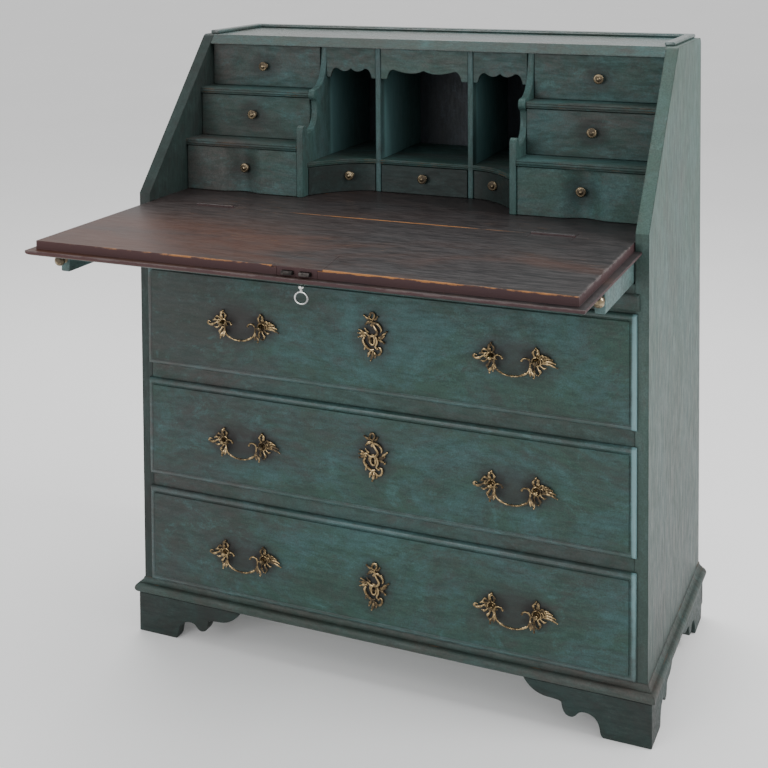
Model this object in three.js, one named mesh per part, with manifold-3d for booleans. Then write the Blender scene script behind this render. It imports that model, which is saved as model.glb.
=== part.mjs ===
// A slant-front writing desk (bureau) with its fall open, drawers closed and lopers pulled out.
// Millimetres, +Z up, X along the width, and the front faces -Y. The feet stand on Z = 0.
// Inside this file Y = 0 is the front plane of the case. The last lines move the whole desk so
// that the origin lies under the centre of its bounding box.
import * as THREE from 'three';
import { mergeVertices } from 'three/addons/utils/BufferGeometryUtils.js';
import Module from 'manifold-3d';

const wasm = await Module();
wasm.setup();

// ---- Driving dimensions -------------------------------------------------------------------
const WIDTH = 900; // case, outside to outside
const DEPTH = 450; // case, front plane to the back of the back panel
const HEIGHT = 1057; // floor to the top of the case sides
const SIDE = 21; // thickness of the case sides
const FOOT_HEIGHT = 70; // floor to the underside of the base moulding
const FOOT_PROUD = 8; // bracket feet stand this far outside the case
const MOULDING_TOP = 97; // top edge of the base moulding
const BACK = 12; // back panel
const GAP = 0.3; // between parts that move past or rest against each other
const WRITING_LEVEL = 778; // top of the desk bed and of the open fall
const SLANT_START = 792; // height at which the sides begin to slope back
const SLANT_DEPTH = 237; // how far the slope runs back at the top
const HINGE_Y = 5; // hinge line of the fall, behind the front plane
const FALL_THICKNESS = 22;
const FALL_REBATE = 13.3; // part of the fall's thickness that drops between the sides
const FALL_LENGTH = 338; // rebated part, from the hinge line
const FALL_LIP = 14; // front lip beyond the rebated part
const FALL_LIP_SIDE = 11.5; // side lip beyond the rebated part
const TOP_BOARD = 17;
const RIM_HEIGHT = 7;
const KNOB_HEAD = 8.5; // radius of the little brass knobs
const POST_SPACING = 37; // half the distance between the two posts of a handle
const HANDLE_X = 241; // centre of each handle from the middle of the drawer
const LOPER = { width: 16, bottom: 715.5, top: 755.7, length: 380, outer: 427 };
const LOPER_KNOB = { x: 420, z: 736 };
const LOPER_OUT = { left: 270, right: 184 }; // how far each one is pulled out
const TIER_FRONT = { top: 234, middle: 187, bottom: 131 }; // fronts of the stacked small drawers
const STACK_INNER = 203; // outer face of the stepped dividers
const STEPPED = 12; // thickness of the stepped dividers
const DIVIDER = 10; // thickness of the pigeonhole dividers
const PIGEON_INNER = 83; // inner face of the pigeonhole dividers
const PIGEON_FRONT = 232;
const LOCK_X = 21; // centre of the fall's lock
const KEY_Y = -319;
const LEAF = { half: 35, width: 26, thick: 2.2, knuckle: 3.2, middle: 17 }; // hinge leaves of the fall
const LEAF_ROOM = { end: 0.5, under: 0.2, knuckle: 4.2 }; // how much larger their pockets are
const LIP = 4; // long drawer lips cover the case by this much
const FIELD = 10; // long drawer fronts stand this far proud of the case

const HALF = WIDTH / 2;
const INSIDE = HALF - SIDE;
const BACK_INNER = DEPTH - BACK;
const CEILING = HEIGHT - TOP_BOARD;
const SLANT = Math.atan2(HEIGHT - SLANT_START, SLANT_DEPTH);
const FALL_SWING = Math.PI - SLANT;
const FALL_UNDER = WRITING_LEVEL - FALL_THICKNESS;
const FALL_HALF = INSIDE - 1.5;
const LIP_HALF = FALL_HALF + FALL_LIP_SIDE;
const FALL_FRONT = HINGE_Y - FALL_LENGTH;
const LIP_FRONT = FALL_FRONT - FALL_LIP;
const HINGES = [-300, 300];

// Long drawers from the top down: lip edges, and the height of the posts of their handles.
const LONG_DRAWERS = [
  { name: 'upper', bottom: 489.5, top: 669.5, post: 580 },
  { name: 'middle', bottom: 291, top: 464, post: 374 },
  { name: 'lower', bottom: 97.5, top: 268.5, post: 176 },
];

// ---- Materials ----------------------------------------------------------------------------
const paint = new THREE.MeshStandardMaterial({ color: 0x3f5753, roughness: 0.55, metalness: 0 });
const paleCase = new THREE.MeshStandardMaterial({ color: 0x5b7370, roughness: 0.5, metalness: 0 });
const darkFall = new THREE.MeshStandardMaterial({ color: 0x3a3533, roughness: 0.35, metalness: 0 });
const innerWood = new THREE.MeshStandardMaterial({ color: 0x6b4a2c, roughness: 0.7, metalness: 0 });
const darkInside = new THREE.MeshStandardMaterial({ color: 0x1d2223, roughness: 0.8, metalness: 0 });
const brass = new THREE.MeshStandardMaterial({ color: 0x9a7a3c, roughness: 0.35, metalness: 1 });
const iron = new THREE.MeshStandardMaterial({ color: 0x4a4744, roughness: 0.5, metalness: 1 });
const steel = new THREE.MeshStandardMaterial({ color: 0xc4c4c2, roughness: 0.25, metalness: 1 });

// ---- Solids: small helpers over three.js shapes and manifold-3d ---------------------------
function toSolid(geometry) {
  const bare = geometry.index ? geometry.toNonIndexed() : geometry.clone();
  bare.deleteAttribute('normal');
  bare.deleteAttribute('uv');
  const merged = mergeVertices(bare, 1e-4);
  const vertProperties = new Float32Array(merged.attributes.position.array);
  const triVerts = new Uint32Array(merged.index.array);
  return new wasm.Manifold(new wasm.Mesh({ numProp: 3, vertProperties, triVerts }));
}

function toGeometry(solid) {
  const mesh = solid.getMesh();
  const geometry = new THREE.BufferGeometry();
  geometry.setAttribute('position', new THREE.BufferAttribute(mesh.vertProperties, 3));
  geometry.setIndex(new THREE.BufferAttribute(mesh.triVerts, 1));
  return geometry;
}

function box(x0, x1, y0, y1, z0, z1) {
  const geometry = new THREE.BoxGeometry(x1 - x0, y1 - y0, z1 - z0);
  geometry.translate((x0 + x1) / 2, (y0 + y1) / 2, (z0 + z1) / 2);
  return toSolid(geometry);
}

// An outline drawn in (Y, Z) and extruded along X.
function alongX(shape, x0, x1, curveSegments = 6) {
  const options = { depth: x1 - x0, bevelEnabled: false, curveSegments };
  const geometry = new THREE.ExtrudeGeometry(shape, options);
  geometry.applyMatrix4(new THREE.Matrix4().set(0, 0, 1, x0, 1, 0, 0, 0, 0, 1, 0, 0, 0, 0, 0, 1));
  return toSolid(geometry);
}

// An outline drawn in (X, Z) and extruded along Y.
function alongY(shape, y0, y1, curveSegments = 6) {
  const options = { depth: y1 - y0, bevelEnabled: false, curveSegments };
  const geometry = new THREE.ExtrudeGeometry(shape, options);
  geometry.rotateX(Math.PI / 2);
  geometry.translate(0, y1, 0);
  return toSolid(geometry);
}

// An outline drawn in (X, Y) and extruded along Z.
function alongZ(shape, z0, z1, curveSegments = 6) {
  const options = { depth: z1 - z0, bevelEnabled: false, curveSegments };
  const geometry = new THREE.ExtrudeGeometry(shape, options);
  geometry.translate(0, 0, z0);
  return toSolid(geometry);
}

function outline(points) {
  return new THREE.Shape(points.map(([u, v]) => new THREE.Vector2(u, v)));
}

// A closed solid through a stack of rings, each a list of four corners in the same order.
function ringStack(rings) {
  const positions = rings.flat(2);
  const index = [];
  for (let level = 0; level + 1 < rings.length; level += 1) {
    for (let k = 0; k < 4; k += 1) {
      const a = level * 4 + k;
      const b = level * 4 + ((k + 1) % 4);
      index.push(a, b, b + 4, a, b + 4, a + 4);
    }
  }
  const last = (rings.length - 1) * 4;
  index.push(0, 2, 1, 0, 3, 2, last, last + 1, last + 2, last, last + 2, last + 3);
  const geometry = new THREE.BufferGeometry();
  geometry.setAttribute('position', new THREE.Float32BufferAttribute(positions, 3));
  geometry.setIndex(index);
  return toSolid(geometry);
}

// A moulded panel that faces -Y: each level is [y, inset from the outer edge], from back to front.
function panelFront(x0, x1, z0, z1, levels) {
  const rings = levels.map(([y, inset]) => [
    [x0 + inset, y, z0 + inset],
    [x1 - inset, y, z0 + inset],
    [x1 - inset, y, z1 - inset],
    [x0 + inset, y, z1 - inset],
  ]);
  return ringStack(rings);
}

// A plate with its edges moulded downwards: each level is [z, x0, x1, y0, y1], from below upwards.
function platform(levels) {
  const ring = ([z, x0, x1, y0, y1]) => [[x0, y0, z], [x1, y0, z], [x1, y1, z], [x0, y1, z]];
  return ringStack(levels.map(ring));
}

// A turned piece. The profile is [radius, distance] pairs that start and end on the axis, and
// its axis runs along `direction` from `origin`.
function turned(profile, direction, origin, segments = 10) {
  const points = profile.map(([radius, distance]) => new THREE.Vector2(radius, distance));
  const geometry = new THREE.LatheGeometry(points, segments);
  const turn = new THREE.Quaternion().setFromUnitVectors(new THREE.Vector3(0, 1, 0), direction);
  geometry.applyQuaternion(turn);
  geometry.translate(origin.x, origin.y, origin.z);
  return toSolid(geometry);
}

function rod(radius, from, to, segments = 10) {
  const length = from.distanceTo(to);
  const profile = [[0, 0], [radius, 0], [radius, length], [0, length]];
  return turned(profile, to.clone().sub(from).normalize(), from, segments);
}

const v = (x, y, z) => new THREE.Vector3(x, y, z);
const union = (...solids) => wasm.Manifold.union(solids);
const cut = (solid, ...tools) => tools.reduce((rest, tool) => rest.subtract(tool), solid);

const desk = new THREE.Group();
desk.name = 'secretary_desk';

function add(name, solid, material) {
  const mesh = new THREE.Mesh(toGeometry(solid), material);
  mesh.name = name;
  desk.add(mesh);
}

// Y of the sloping front plane at height z.
const slantY = (z) => ((z - SLANT_START) * SLANT_DEPTH) / (HEIGHT - SLANT_START);

// A solid given in the open fall's place, turned to where it lies when the fall is closed.
function closedPlace(solid) {
  const degrees = THREE.MathUtils.radToDeg(-FALL_SWING);
  const atHinge = solid.translate([0, -HINGE_Y, -WRITING_LEVEL]);
  return atHinge.rotate([degrees, 0, 0]).translate([0, HINGE_Y, WRITING_LEVEL]);
}

// ---- Case ---------------------------------------------------------------------------------
function sideOutline() {
  const nose = 5;
  const rear = 12;
  const shape = new THREE.Shape();
  shape.moveTo(0, FOOT_HEIGHT);
  shape.lineTo(DEPTH, FOOT_HEIGHT);
  shape.lineTo(DEPTH, HEIGHT - rear);
  shape.absarc(DEPTH - rear, HEIGHT - rear, rear, 0, Math.PI / 2, false);
  shape.lineTo(SLANT_DEPTH + nose, HEIGHT);
  shape.quadraticCurveTo(SLANT_DEPTH, HEIGHT, slantY(HEIGHT - nose), HEIGHT - nose);
  shape.lineTo(0, SLANT_START);
  shape.closePath();
  return shape;
}

add('side_left', alongX(sideOutline(), -HALF, -INSIDE, 4), paint);
add('side_right', alongX(sideOutline(), INSIDE, HALF, 4), paleCase);

// Bolts of the fall's lock: two heads that stand out of the fall's front edge.
const BOLT = { spacing: 14, half: 8.5, bottom: 767.5, top: 772.5, tip: FALL_FRONT - 7 };

function topBoard() {
  const profile = [
    [slantY(CEILING), CEILING],
    [DEPTH, CEILING],
    [DEPTH, HEIGHT],
    [SLANT_DEPTH, HEIGHT],
  ];
  const board = alongX(outline(profile), -INSIDE, INSIDE);
  const mortises = [-1, 1].map((end) => {
    const x = LOCK_X + end * BOLT.spacing;
    const half = BOLT.half + 1;
    const room = box(x - half, x + half, BOLT.tip - 2, FALL_FRONT + 2, BOLT.bottom - 1, BOLT.top + 1);
    return closedPlace(room);
  });
  return cut(board, ...mortises);
}

add('top_board', topBoard(), paint);

function topRim() {
  const outer = { x: HALF - 8.5, front: 247, back: DEPTH - 9 };
  const width = 17;
  const full = box(-outer.x, outer.x, outer.front, outer.back, HEIGHT, HEIGHT + RIM_HEIGHT);
  const x = outer.x - width;
  const hollow = box(-x, x, outer.front - 1, outer.back - width, HEIGHT - 1, HEIGHT + RIM_HEIGHT + 1);
  return cut(full, hollow);
}

add('top_rim', topRim(), paleCase);
add('back_panel', box(-INSIDE, INSIDE, BACK_INNER, DEPTH, FOOT_HEIGHT, CEILING), darkInside);

const BOTTOM_TOP = LONG_DRAWERS[2].bottom + LIP;
add('bottom_board', box(-INSIDE, INSIDE, 0, BACK_INNER, BOTTOM_TOP - 20, BOTTOM_TOP), paint);

// Rails between the long drawers, each with its dust board behind.
const RAIL_DEPTH = 60;
const DUST = 12;
for (const [name, below, above] of [['lower', 2, 1], ['upper', 1, 0]]) {
  const z0 = LONG_DRAWERS[below].top - LIP;
  const z1 = LONG_DRAWERS[above].bottom + LIP;
  add(`rail_${name}`, box(-INSIDE, INSIDE, 0, RAIL_DEPTH, z0, z1), paint);
  add(`dust_board_${name}`, box(-INSIDE, INSIDE, RAIL_DEPTH, BACK_INNER, z1 - DUST, z1), innerWood);
}

const LOPER_FLOOR = 715;
const LOPER_RAIL_BOTTOM = LONG_DRAWERS[0].top - LIP;
add('loper_rail', box(-INSIDE, INSIDE, 0, RAIL_DEPTH, LOPER_RAIL_BOTTOM, LOPER_FLOOR), paint);
const loperBoard = box(-INSIDE, INSIDE, RAIL_DEPTH, BACK_INNER, LOPER_FLOOR - DUST, LOPER_FLOOR);
add('loper_board', loperBoard, innerWood);
const STRIP = { half: INSIDE + 7.5, bottom: 673.5, top: 699.6 };
const stripLevels = [[0, 0], [-2, 0], [-4.6, 1.1], [-6, 3.6]];
add('rail_strip', panelFront(-STRIP.half, STRIP.half, STRIP.bottom, STRIP.top, stripLevels), paint);

// One frame under the bed: a front rail and, at each end, a rail that guides a loper.
function bedFrame() {
  const thick = { rail: 18, guide: 14 };
  const half = LOPER.outer - LOPER.width - 1;
  const inner = half - thick.guide;
  const rail = box(-half, half, 0, thick.rail, LOPER_FLOOR, FALL_UNDER - GAP);
  const guides = box(-half, half, thick.rail, BACK_INNER, LOPER_FLOOR, FALL_UNDER);
  const between = box(-inner, inner, thick.rail, DEPTH, LOPER_FLOOR - 1, FALL_UNDER + 1);
  return union(rail, cut(guides, between));
}

add('bed_frame', bedFrame(), paint);

// Room for one leaf of every hinge, on the bed's side (+1) or on the fall's side (-1) of the pins.
function leafPockets(side) {
  const reach = { leaf: LEAF.width + LEAF_ROOM.under, knuckle: LEAF_ROOM.knuckle };
  const under = { leaf: LEAF.thick + LEAF_ROOM.under, knuckle: LEAF_ROOM.knuckle };
  const half = LEAF.half + LEAF_ROOM.end;
  return HINGES.flatMap((x) => ['leaf', 'knuckle'].map((part) => {
    const y = [HINGE_Y - side, HINGE_Y + side * reach[part]].sort((a, b) => a - b);
    return box(x - half, x + half, y[0], y[1], WRITING_LEVEL - under[part], WRITING_LEVEL + 1);
  }));
}

function deskBed() {
  const board = box(-INSIDE, INSIDE, HINGE_Y, BACK_INNER, FALL_UNDER, WRITING_LEVEL);
  return cut(board, ...leafPockets(1));
}

add('desk_bed', deskBed(), darkFall);

// The base moulding: a hollow above a rounded nose, mitred round the front and both sides.
function baseMoulding() {
  const nose = { z: 79, radius: 8.8, reach: 14 };
  const profile = [[0, MOULDING_TOP], [1.5, 94.5], [4, 91], [7.5, 88.5]];
  for (let step = 0; step <= 5; step += 1) {
    const angle = THREE.MathUtils.degToRad(75 - step * 33);
    const out = nose.reach - nose.radius + nose.radius * Math.cos(angle);
    profile.push([out, nose.z + nose.radius * Math.sin(angle)]);
  }
  const last = profile[profile.length - 1];
  profile.push([last[0] - 2, FOOT_HEIGHT]);
  const levels = profile.reverse().map(([out, z]) => [z, -HALF - out, HALF + out, -out, DEPTH]);
  return cut(platform(levels), box(-HALF, HALF, 0, DEPTH + 1, 0, HEIGHT));
}

add('base_moulding', baseMoulding(), paint);

// Bracket foot: outline from the corner inwards, scaled along its length.
function bracketOutline(length, heel) {
  const s = length / 206;
  const shape = new THREE.Shape();
  shape.moveTo(0, FOOT_HEIGHT);
  shape.lineTo(-heel.top, FOOT_HEIGHT);
  shape.quadraticCurveTo(-heel.top, 18, -heel.bottom, 0);
  shape.lineTo(76 * s, 0);
  shape.quadraticCurveTo(80 * s, 3, 81 * s, 12);
  shape.quadraticCurveTo(84 * s, 33, 104 * s, 34);
  shape.quadraticCurveTo(113 * s, 34, 117 * s, 28);
  shape.quadraticCurveTo(124 * s, 19, 134 * s, 24);
  shape.quadraticCurveTo(141 * s, 29, 142 * s, 43);
  shape.quadraticCurveTo(147 * s, 46, 165 * s, 46);
  shape.quadraticCurveTo(190 * s, 48, 204 * s, FOOT_HEIGHT);
  shape.closePath();
  return shape;
}

const BRACKET = 20;
const straightHeel = { top: 0, bottom: 0 };

function frontFoot() {
  const front = alongY(bracketOutline(206, straightHeel), 0, BRACKET, 3);
  const side = alongX(bracketOutline(176, straightHeel), 0, BRACKET, 3);
  return union(front, side);
}

function rearFoot() {
  const heel = { top: 0, bottom: -18 };
  const side = alongX(bracketOutline(206, heel), 0, BRACKET, 3);
  const back = alongY(outline([[0, 22], [110, 22], [150, FOOT_HEIGHT], [0, FOOT_HEIGHT]]), 2, 14, 3);
  return union(side, back);
}

// Each foot is drawn with its corner at the origin, running to +X and +Y, and mirrored into place.
const FEET = [['front_left', 1, 1], ['front_right', -1, 1], ['rear_left', 1, -1], ['rear_right', -1, -1]];
for (const [name, sx, sy] of FEET) {
  const front = sy > 0;
  const foot = front ? frontFoot() : rearFoot();
  const placed = foot.scale([sx, sy, 1]);
  const y = front ? -FOOT_PROUD : DEPTH;
  add(`foot_${name}`, placed.translate([-sx * (HALF + FOOT_PROUD), y, 0]), paint);
}

// ---- Interior -----------------------------------------------------------------------------
// Heights of the shelves in the two stacks and of the floor under the pigeonholes.
const SHELVES = {
  upper: { bottom: 950, top: 961, front: TIER_FRONT.middle - 3 },
  lower: { bottom: 860, top: 871, front: TIER_FRONT.bottom - 3 },
};
const FLOOR = { bottom: 829, top: 838 };

function steppedOutline() {
  const shape = new THREE.Shape();
  const low = { y: 128, z: 896, r: 10 };
  const high = { y: 178, z: 956, r: 10 };
  shape.moveTo(BACK_INNER, WRITING_LEVEL);
  shape.lineTo(BACK_INNER, CEILING);
  shape.lineTo(PIGEON_FRONT + 6, CEILING);
  shape.bezierCurveTo(PIGEON_FRONT + 4, 985, 214, high.z + high.r, high.y + high.r, high.z + high.r);
  shape.absarc(high.y + high.r, high.z, high.r, Math.PI / 2, 1.5 * Math.PI, false);
  shape.lineTo(192, 944);
  shape.bezierCurveTo(196, 905, 176, 890, low.y + 20, 891);
  shape.absarc(low.y + low.r, low.z, low.r, Math.PI / 6, Math.PI, false);
  shape.lineTo(low.y, WRITING_LEVEL);
  shape.closePath();
  return shape;
}

const SPACES = [['left', -1], ['right', 1]];
for (const [name, side] of SPACES) {
  const x0 = side < 0 ? -STACK_INNER : STACK_INNER - STEPPED;
  add(`stepped_divider_${name}`, alongX(steppedOutline(), x0, x0 + STEPPED, 5), paint);
}

// A pigeonhole divider, notched from behind where the floor crosses it.
const CROSSING = 335;
const dividerProfile = [
  [PIGEON_FRONT, WRITING_LEVEL],
  [BACK_INNER, WRITING_LEVEL],
  [BACK_INNER, FLOOR.bottom - GAP],
  [CROSSING, FLOOR.bottom - GAP],
  [CROSSING, FLOOR.top + GAP],
  [BACK_INNER, FLOOR.top + GAP],
  [BACK_INNER, CEILING],
  [PIGEON_FRONT, CEILING],
];
for (const [name, side] of SPACES) {
  const x0 = side < 0 ? -PIGEON_INNER - DIVIDER : PIGEON_INNER;
  add(`pigeonhole_divider_${name}`, alongX(outline(dividerProfile), x0, x0 + DIVIDER), paint);
}

// Front of the small side drawers in plan: a curve that sweeps forward to the stepped divider.
const SWEEP = { from: PIGEON_INNER + DIVIDER, to: STACK_INNER - STEPPED, reach: 84 };
const sweepY = (x) => PIGEON_FRONT + 1 - SWEEP.reach * ((x - SWEEP.from) / (SWEEP.to - SWEEP.from)) ** 2;

function sweepPoints(x0, x1, offset, steps = 6) {
  return Array.from({ length: steps + 1 }, (_, k) => {
    const x = x0 + ((x1 - x0) * k) / steps;
    return [x, sweepY(x) + offset];
  });
}

function pigeonholeFloor() {
  const right = [
    ...sweepPoints(SWEEP.from + GAP, SWEEP.to, -1),
    [SWEEP.to, BACK_INNER],
  ];
  const left = right.map(([x, y]) => [-x, y]).reverse();
  const slot = PIGEON_INNER - GAP;
  const rightNotch = [[slot, PIGEON_FRONT - 1], [slot, CROSSING + GAP], [SWEEP.from + GAP, CROSSING + GAP]];
  const leftNotch = rightNotch.map(([x, y]) => [-x, y]).reverse();
  return alongZ(outline([...left, ...leftNotch, ...rightNotch, ...right]), FLOOR.bottom, FLOOR.top);
}

add('pigeonhole_floor', pigeonholeFloor(), paint);

for (const [name, side] of SPACES) {
  for (const [level, shelf] of Object.entries(SHELVES)) {
    const x0 = side < 0 ? -INSIDE : STACK_INNER;
    const board = box(x0, x0 + INSIDE - STACK_INNER, shelf.front, BACK_INNER, shelf.bottom, shelf.top);
    add(`stack_shelf_${level}_${name}`, board, paint);
  }
}

// Valance: ears at both ends, a peak beside each, and two lobes that meet in a cusp.
function valance(x0, x1, ear, lobe) {
  const level = { ear: 984, lobe: 990, peak: 1001 };
  const middle = (x0 + x1) / 2;
  const shape = new THREE.Shape();
  shape.moveTo(x0, CEILING);
  shape.lineTo(x0, level.ear);
  shape.lineTo(x0 + ear, level.ear);
  shape.quadraticCurveTo(x0 + ear + 4, level.peak + 2, x0 + ear + 14, level.peak);
  shape.quadraticCurveTo(middle - lobe, level.lobe, middle, level.peak);
  shape.quadraticCurveTo(middle + lobe, level.lobe, x1 - ear - 14, level.peak);
  shape.quadraticCurveTo(x1 - ear - 4, level.peak + 2, x1 - ear, level.ear);
  shape.lineTo(x1, level.ear);
  shape.lineTo(x1, CEILING);
  shape.closePath();
  return alongY(shape, PIGEON_FRONT + 2, PIGEON_FRONT + 8, 5);
}

add('valance_left', valance(-SWEEP.to, -SWEEP.from, 8, 12), paint);
add('valance_centre', valance(-PIGEON_INNER, PIGEON_INNER, 12, 22), paint);
add('valance_right', valance(SWEEP.from, SWEEP.to, 8, 12), paint);

// ---- Small drawers ------------------------------------------------------------------------
function knob(origin, segments = 8) {
  const profile = [
    [0, -1],
    [5.5, -1],
    [5.5, 1.5],
    [3, 3],
    [3, 6],
    [KNOB_HEAD, 8.5],
    [KNOB_HEAD, 11],
    [5, 13.5],
    [0, 14.5],
  ];
  return turned(profile, v(0, -1, 0), origin, segments);
}

const WALL = 6;
const FRONT_WALL = 10;
const SMALL_BACK = BACK_INNER - 8;

// A drawer from its plan outlines: outside and cavity, with a knob on the front.
function smallDrawer(plan, cavity, z0, z1, knobAt) {
  const body = alongZ(outline(plan), z0, z1);
  const hollow = alongZ(outline(cavity), z0 + WALL, z1 + 5);
  return union(cut(body, hollow), knob(knobAt));
}

// The shallow hollow in the middle of the lowest stacked drawers.
const HOLLOW = { centre: (STACK_INNER + INSIDE) / 2, half: 42, depth: 12 };

function hollowPoints(x0, x1, y) {
  const steps = 8;
  const middle = Array.from({ length: steps + 1 }, (_, k) => {
    const t = (2 * k) / steps - 1;
    const dip = HOLLOW.depth * Math.cos((t * Math.PI) / 2) ** 2;
    return [HOLLOW.centre + t * HOLLOW.half, y + dip];
  });
  return [[x0, y], ...middle, [x1, y]];
}

const stackX0 = STACK_INNER + 1;
const stackX1 = INSIDE - 1;
const CAVITY_BACK = SMALL_BACK - WALL;
const TIERS = [
  { name: 'top', bottom: SHELVES.upper.top, top: CEILING, knobX: 318, knobZ: 999.5 },
  { name: 'middle', bottom: SHELVES.lower.top, top: SHELVES.upper.bottom, knobX: 318, knobZ: 914.5 },
  { name: 'bottom', bottom: WRITING_LEVEL, top: SHELVES.lower.bottom, knobX: 311, knobZ: 823 },
];
for (const [name, side] of SPACES) {
  for (const tier of TIERS) {
    const y = TIER_FRONT[tier.name];
    const dip = tier.name === 'bottom' ? HOLLOW.depth : 0;
    const front = dip ? hollowPoints(stackX0, stackX1, y) : [[stackX0, y], [stackX1, y]];
    const plan = [...front, [stackX1, SMALL_BACK], [stackX0, SMALL_BACK]];
    const inner = y + dip + FRONT_WALL;
    const cavity = [
      [stackX0 + WALL, inner],
      [stackX1 - WALL, inner],
      [stackX1 - WALL, CAVITY_BACK],
      [stackX0 + WALL, CAVITY_BACK],
    ];
    const knobAt = v(tier.knobX, y + dip, tier.knobZ);
    const drawer = smallDrawer(plan, cavity, tier.bottom + 0.5, tier.top - 1, knobAt);
    add(`drawer_${tier.name}_${name}`, side < 0 ? drawer.scale([-1, 1, 1]) : drawer, paint);
  }
}

const ROW = { bottom: WRITING_LEVEL + 0.5, top: FLOOR.bottom - 1, knobX: 136, knobZ: 808 };
for (const [name, side] of SPACES) {
  const x0 = SWEEP.from + 1;
  const x1 = SWEEP.to - 1;
  const plan = [...sweepPoints(x0, x1, 0), [x1, SMALL_BACK], [x0, SMALL_BACK]];
  const front = sweepPoints(x0 + WALL, x1 - WALL, FRONT_WALL);
  const cavity = [...front, [x1 - WALL, CAVITY_BACK], [x0 + WALL, CAVITY_BACK]];
  const knobAt = v(ROW.knobX, sweepY(ROW.knobX) + 1, ROW.knobZ);
  const drawer = smallDrawer(plan, cavity, ROW.bottom, ROW.top, knobAt);
  add(`drawer_row_${name}`, side < 0 ? drawer.scale([-1, 1, 1]) : drawer, paint);
}

function centreDrawer() {
  const x = PIGEON_INNER - 1;
  const plan = [[-x, PIGEON_FRONT], [x, PIGEON_FRONT], [x, SMALL_BACK], [-x, SMALL_BACK]];
  const inner = { x: x - WALL, y: PIGEON_FRONT + FRONT_WALL };
  const cavity = [[-inner.x, inner.y], [inner.x, inner.y], [inner.x, CAVITY_BACK], [-inner.x, CAVITY_BACK]];
  return smallDrawer(plan, cavity, ROW.bottom, ROW.top, v(0, PIGEON_FRONT, ROW.knobZ));
}

add('drawer_row_centre', centreDrawer(), paint);

// ---- Long drawers and their handles -------------------------------------------------------
const POST = { reach: 9, radius: 5, hole: 2.3, pin: 1.7 };
const PIVOT_Y = -FIELD - POST.reach;

function post(x, z) {
  const profile = [
    [0, -2],
    [POST.radius + 3, -2],
    [POST.radius + 3, 2],
    [POST.radius, 4],
    [POST.radius, POST.reach + 4],
    [3, POST.reach + 6.5],
    [0, POST.reach + 7],
  ];
  const solid = turned(profile, v(0, -1, 0), v(x, -FIELD, z));
  return cut(solid, rod(POST.hole, v(x - 12, PIVOT_Y, z), v(x + 12, PIVOT_Y, z), 8));
}

// Moulded front: a rounded bead at the edge, a groove, and the flat field standing proud.
const frontLevels = [
  [-0.2, 0], [-2.5, 0], [-5.6, 0.9], [-7.6, 3.4], [-8.2, 6.4], [-7, 8.6], [-7, 10.8], [-FIELD, 11.6],
];

function longDrawer({ bottom, top, post: postZ }) {
  const lipHalf = INSIDE + LIP;
  const boxHalf = INSIDE - 1;
  const rear = BACK_INNER - 15;
  const z0 = bottom + LIP + 0.5;
  const z1 = top - LIP - 1;
  const front = panelFront(-lipHalf, lipHalf, bottom, top, frontLevels);
  const body = box(-boxHalf, boxHalf, -1, rear, z0, z1);
  const cavity = box(12 - boxHalf, boxHalf - 12, 12, rear - 12, z0 + 9, z1 + 1);
  const postX = [-1, 1].flatMap((side) => [side * HANDLE_X - POST_SPACING, side * HANDLE_X + POST_SPACING]);
  const posts = postX.map((x) => post(x, postZ));
  return union(cut(union(front, body), cavity), ...posts);
}

// A bail hangs between its two posts on pins, and its arms curve in to a low middle.
function bail(x, z) {
  const end = POST_SPACING - 9;
  const route = new THREE.CatmullRomCurve3([
    v(-end, 0, 2.5),
    v(-end - 1, 0, -4),
    v(-end + 2, -2, -15),
    v(-end + 12, -3, -23),
    v(0, -3, -27),
    v(end - 12, -3, -23),
    v(end - 2, -2, -15),
    v(end + 1, 0, -4),
    v(end, 0, 2.5),
  ]);
  const ring = new THREE.Shape();
  ring.absellipse(0, 0, 2.2, 2.2, 0, 2 * Math.PI, false, 0);
  const options = { steps: 18, extrudePath: route, bevelEnabled: false, curveSegments: 3 };
  const wire = toSolid(new THREE.ExtrudeGeometry(ring, options));
  const tip = POST_SPACING + 2;
  const pins = [-1, 1].map((s) => rod(POST.pin, v(s * (end - 1), 0, 0), v(s * tip, 0, 0), 8));
  return union(wire, ...pins).translate([x, PIVOT_Y, z]);
}

for (const drawer of LONG_DRAWERS) {
  add(`long_drawer_${drawer.name}`, longDrawer(drawer), paint);
  for (const [name, side] of SPACES) {
    add(`bail_${drawer.name}_${name}`, bail(side * HANDLE_X, drawer.post), brass);
  }
}

// ---- Lopers -------------------------------------------------------------------------------
for (const [name, side] of SPACES) {
  const front = -LOPER_OUT[name];
  const x0 = side < 0 ? -LOPER.outer : LOPER.outer - LOPER.width;
  const bar = box(x0, x0 + LOPER.width, front, front + LOPER.length, LOPER.bottom, LOPER.top);
  const pull = knob(v(side * LOPER_KNOB.x, front, LOPER_KNOB.z), 10);
  add(`loper_${name}`, union(bar, pull), paint);
}

// ---- Fall, its hinges, lock and key -------------------------------------------------------
const CASE = { half: 32, back: FALL_FRONT + 41, bottom: 764, top: WRITING_LEVEL - 2, wall: 3 };
const PLATE = { front: 40, back: 28, depth: 84 };

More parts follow.
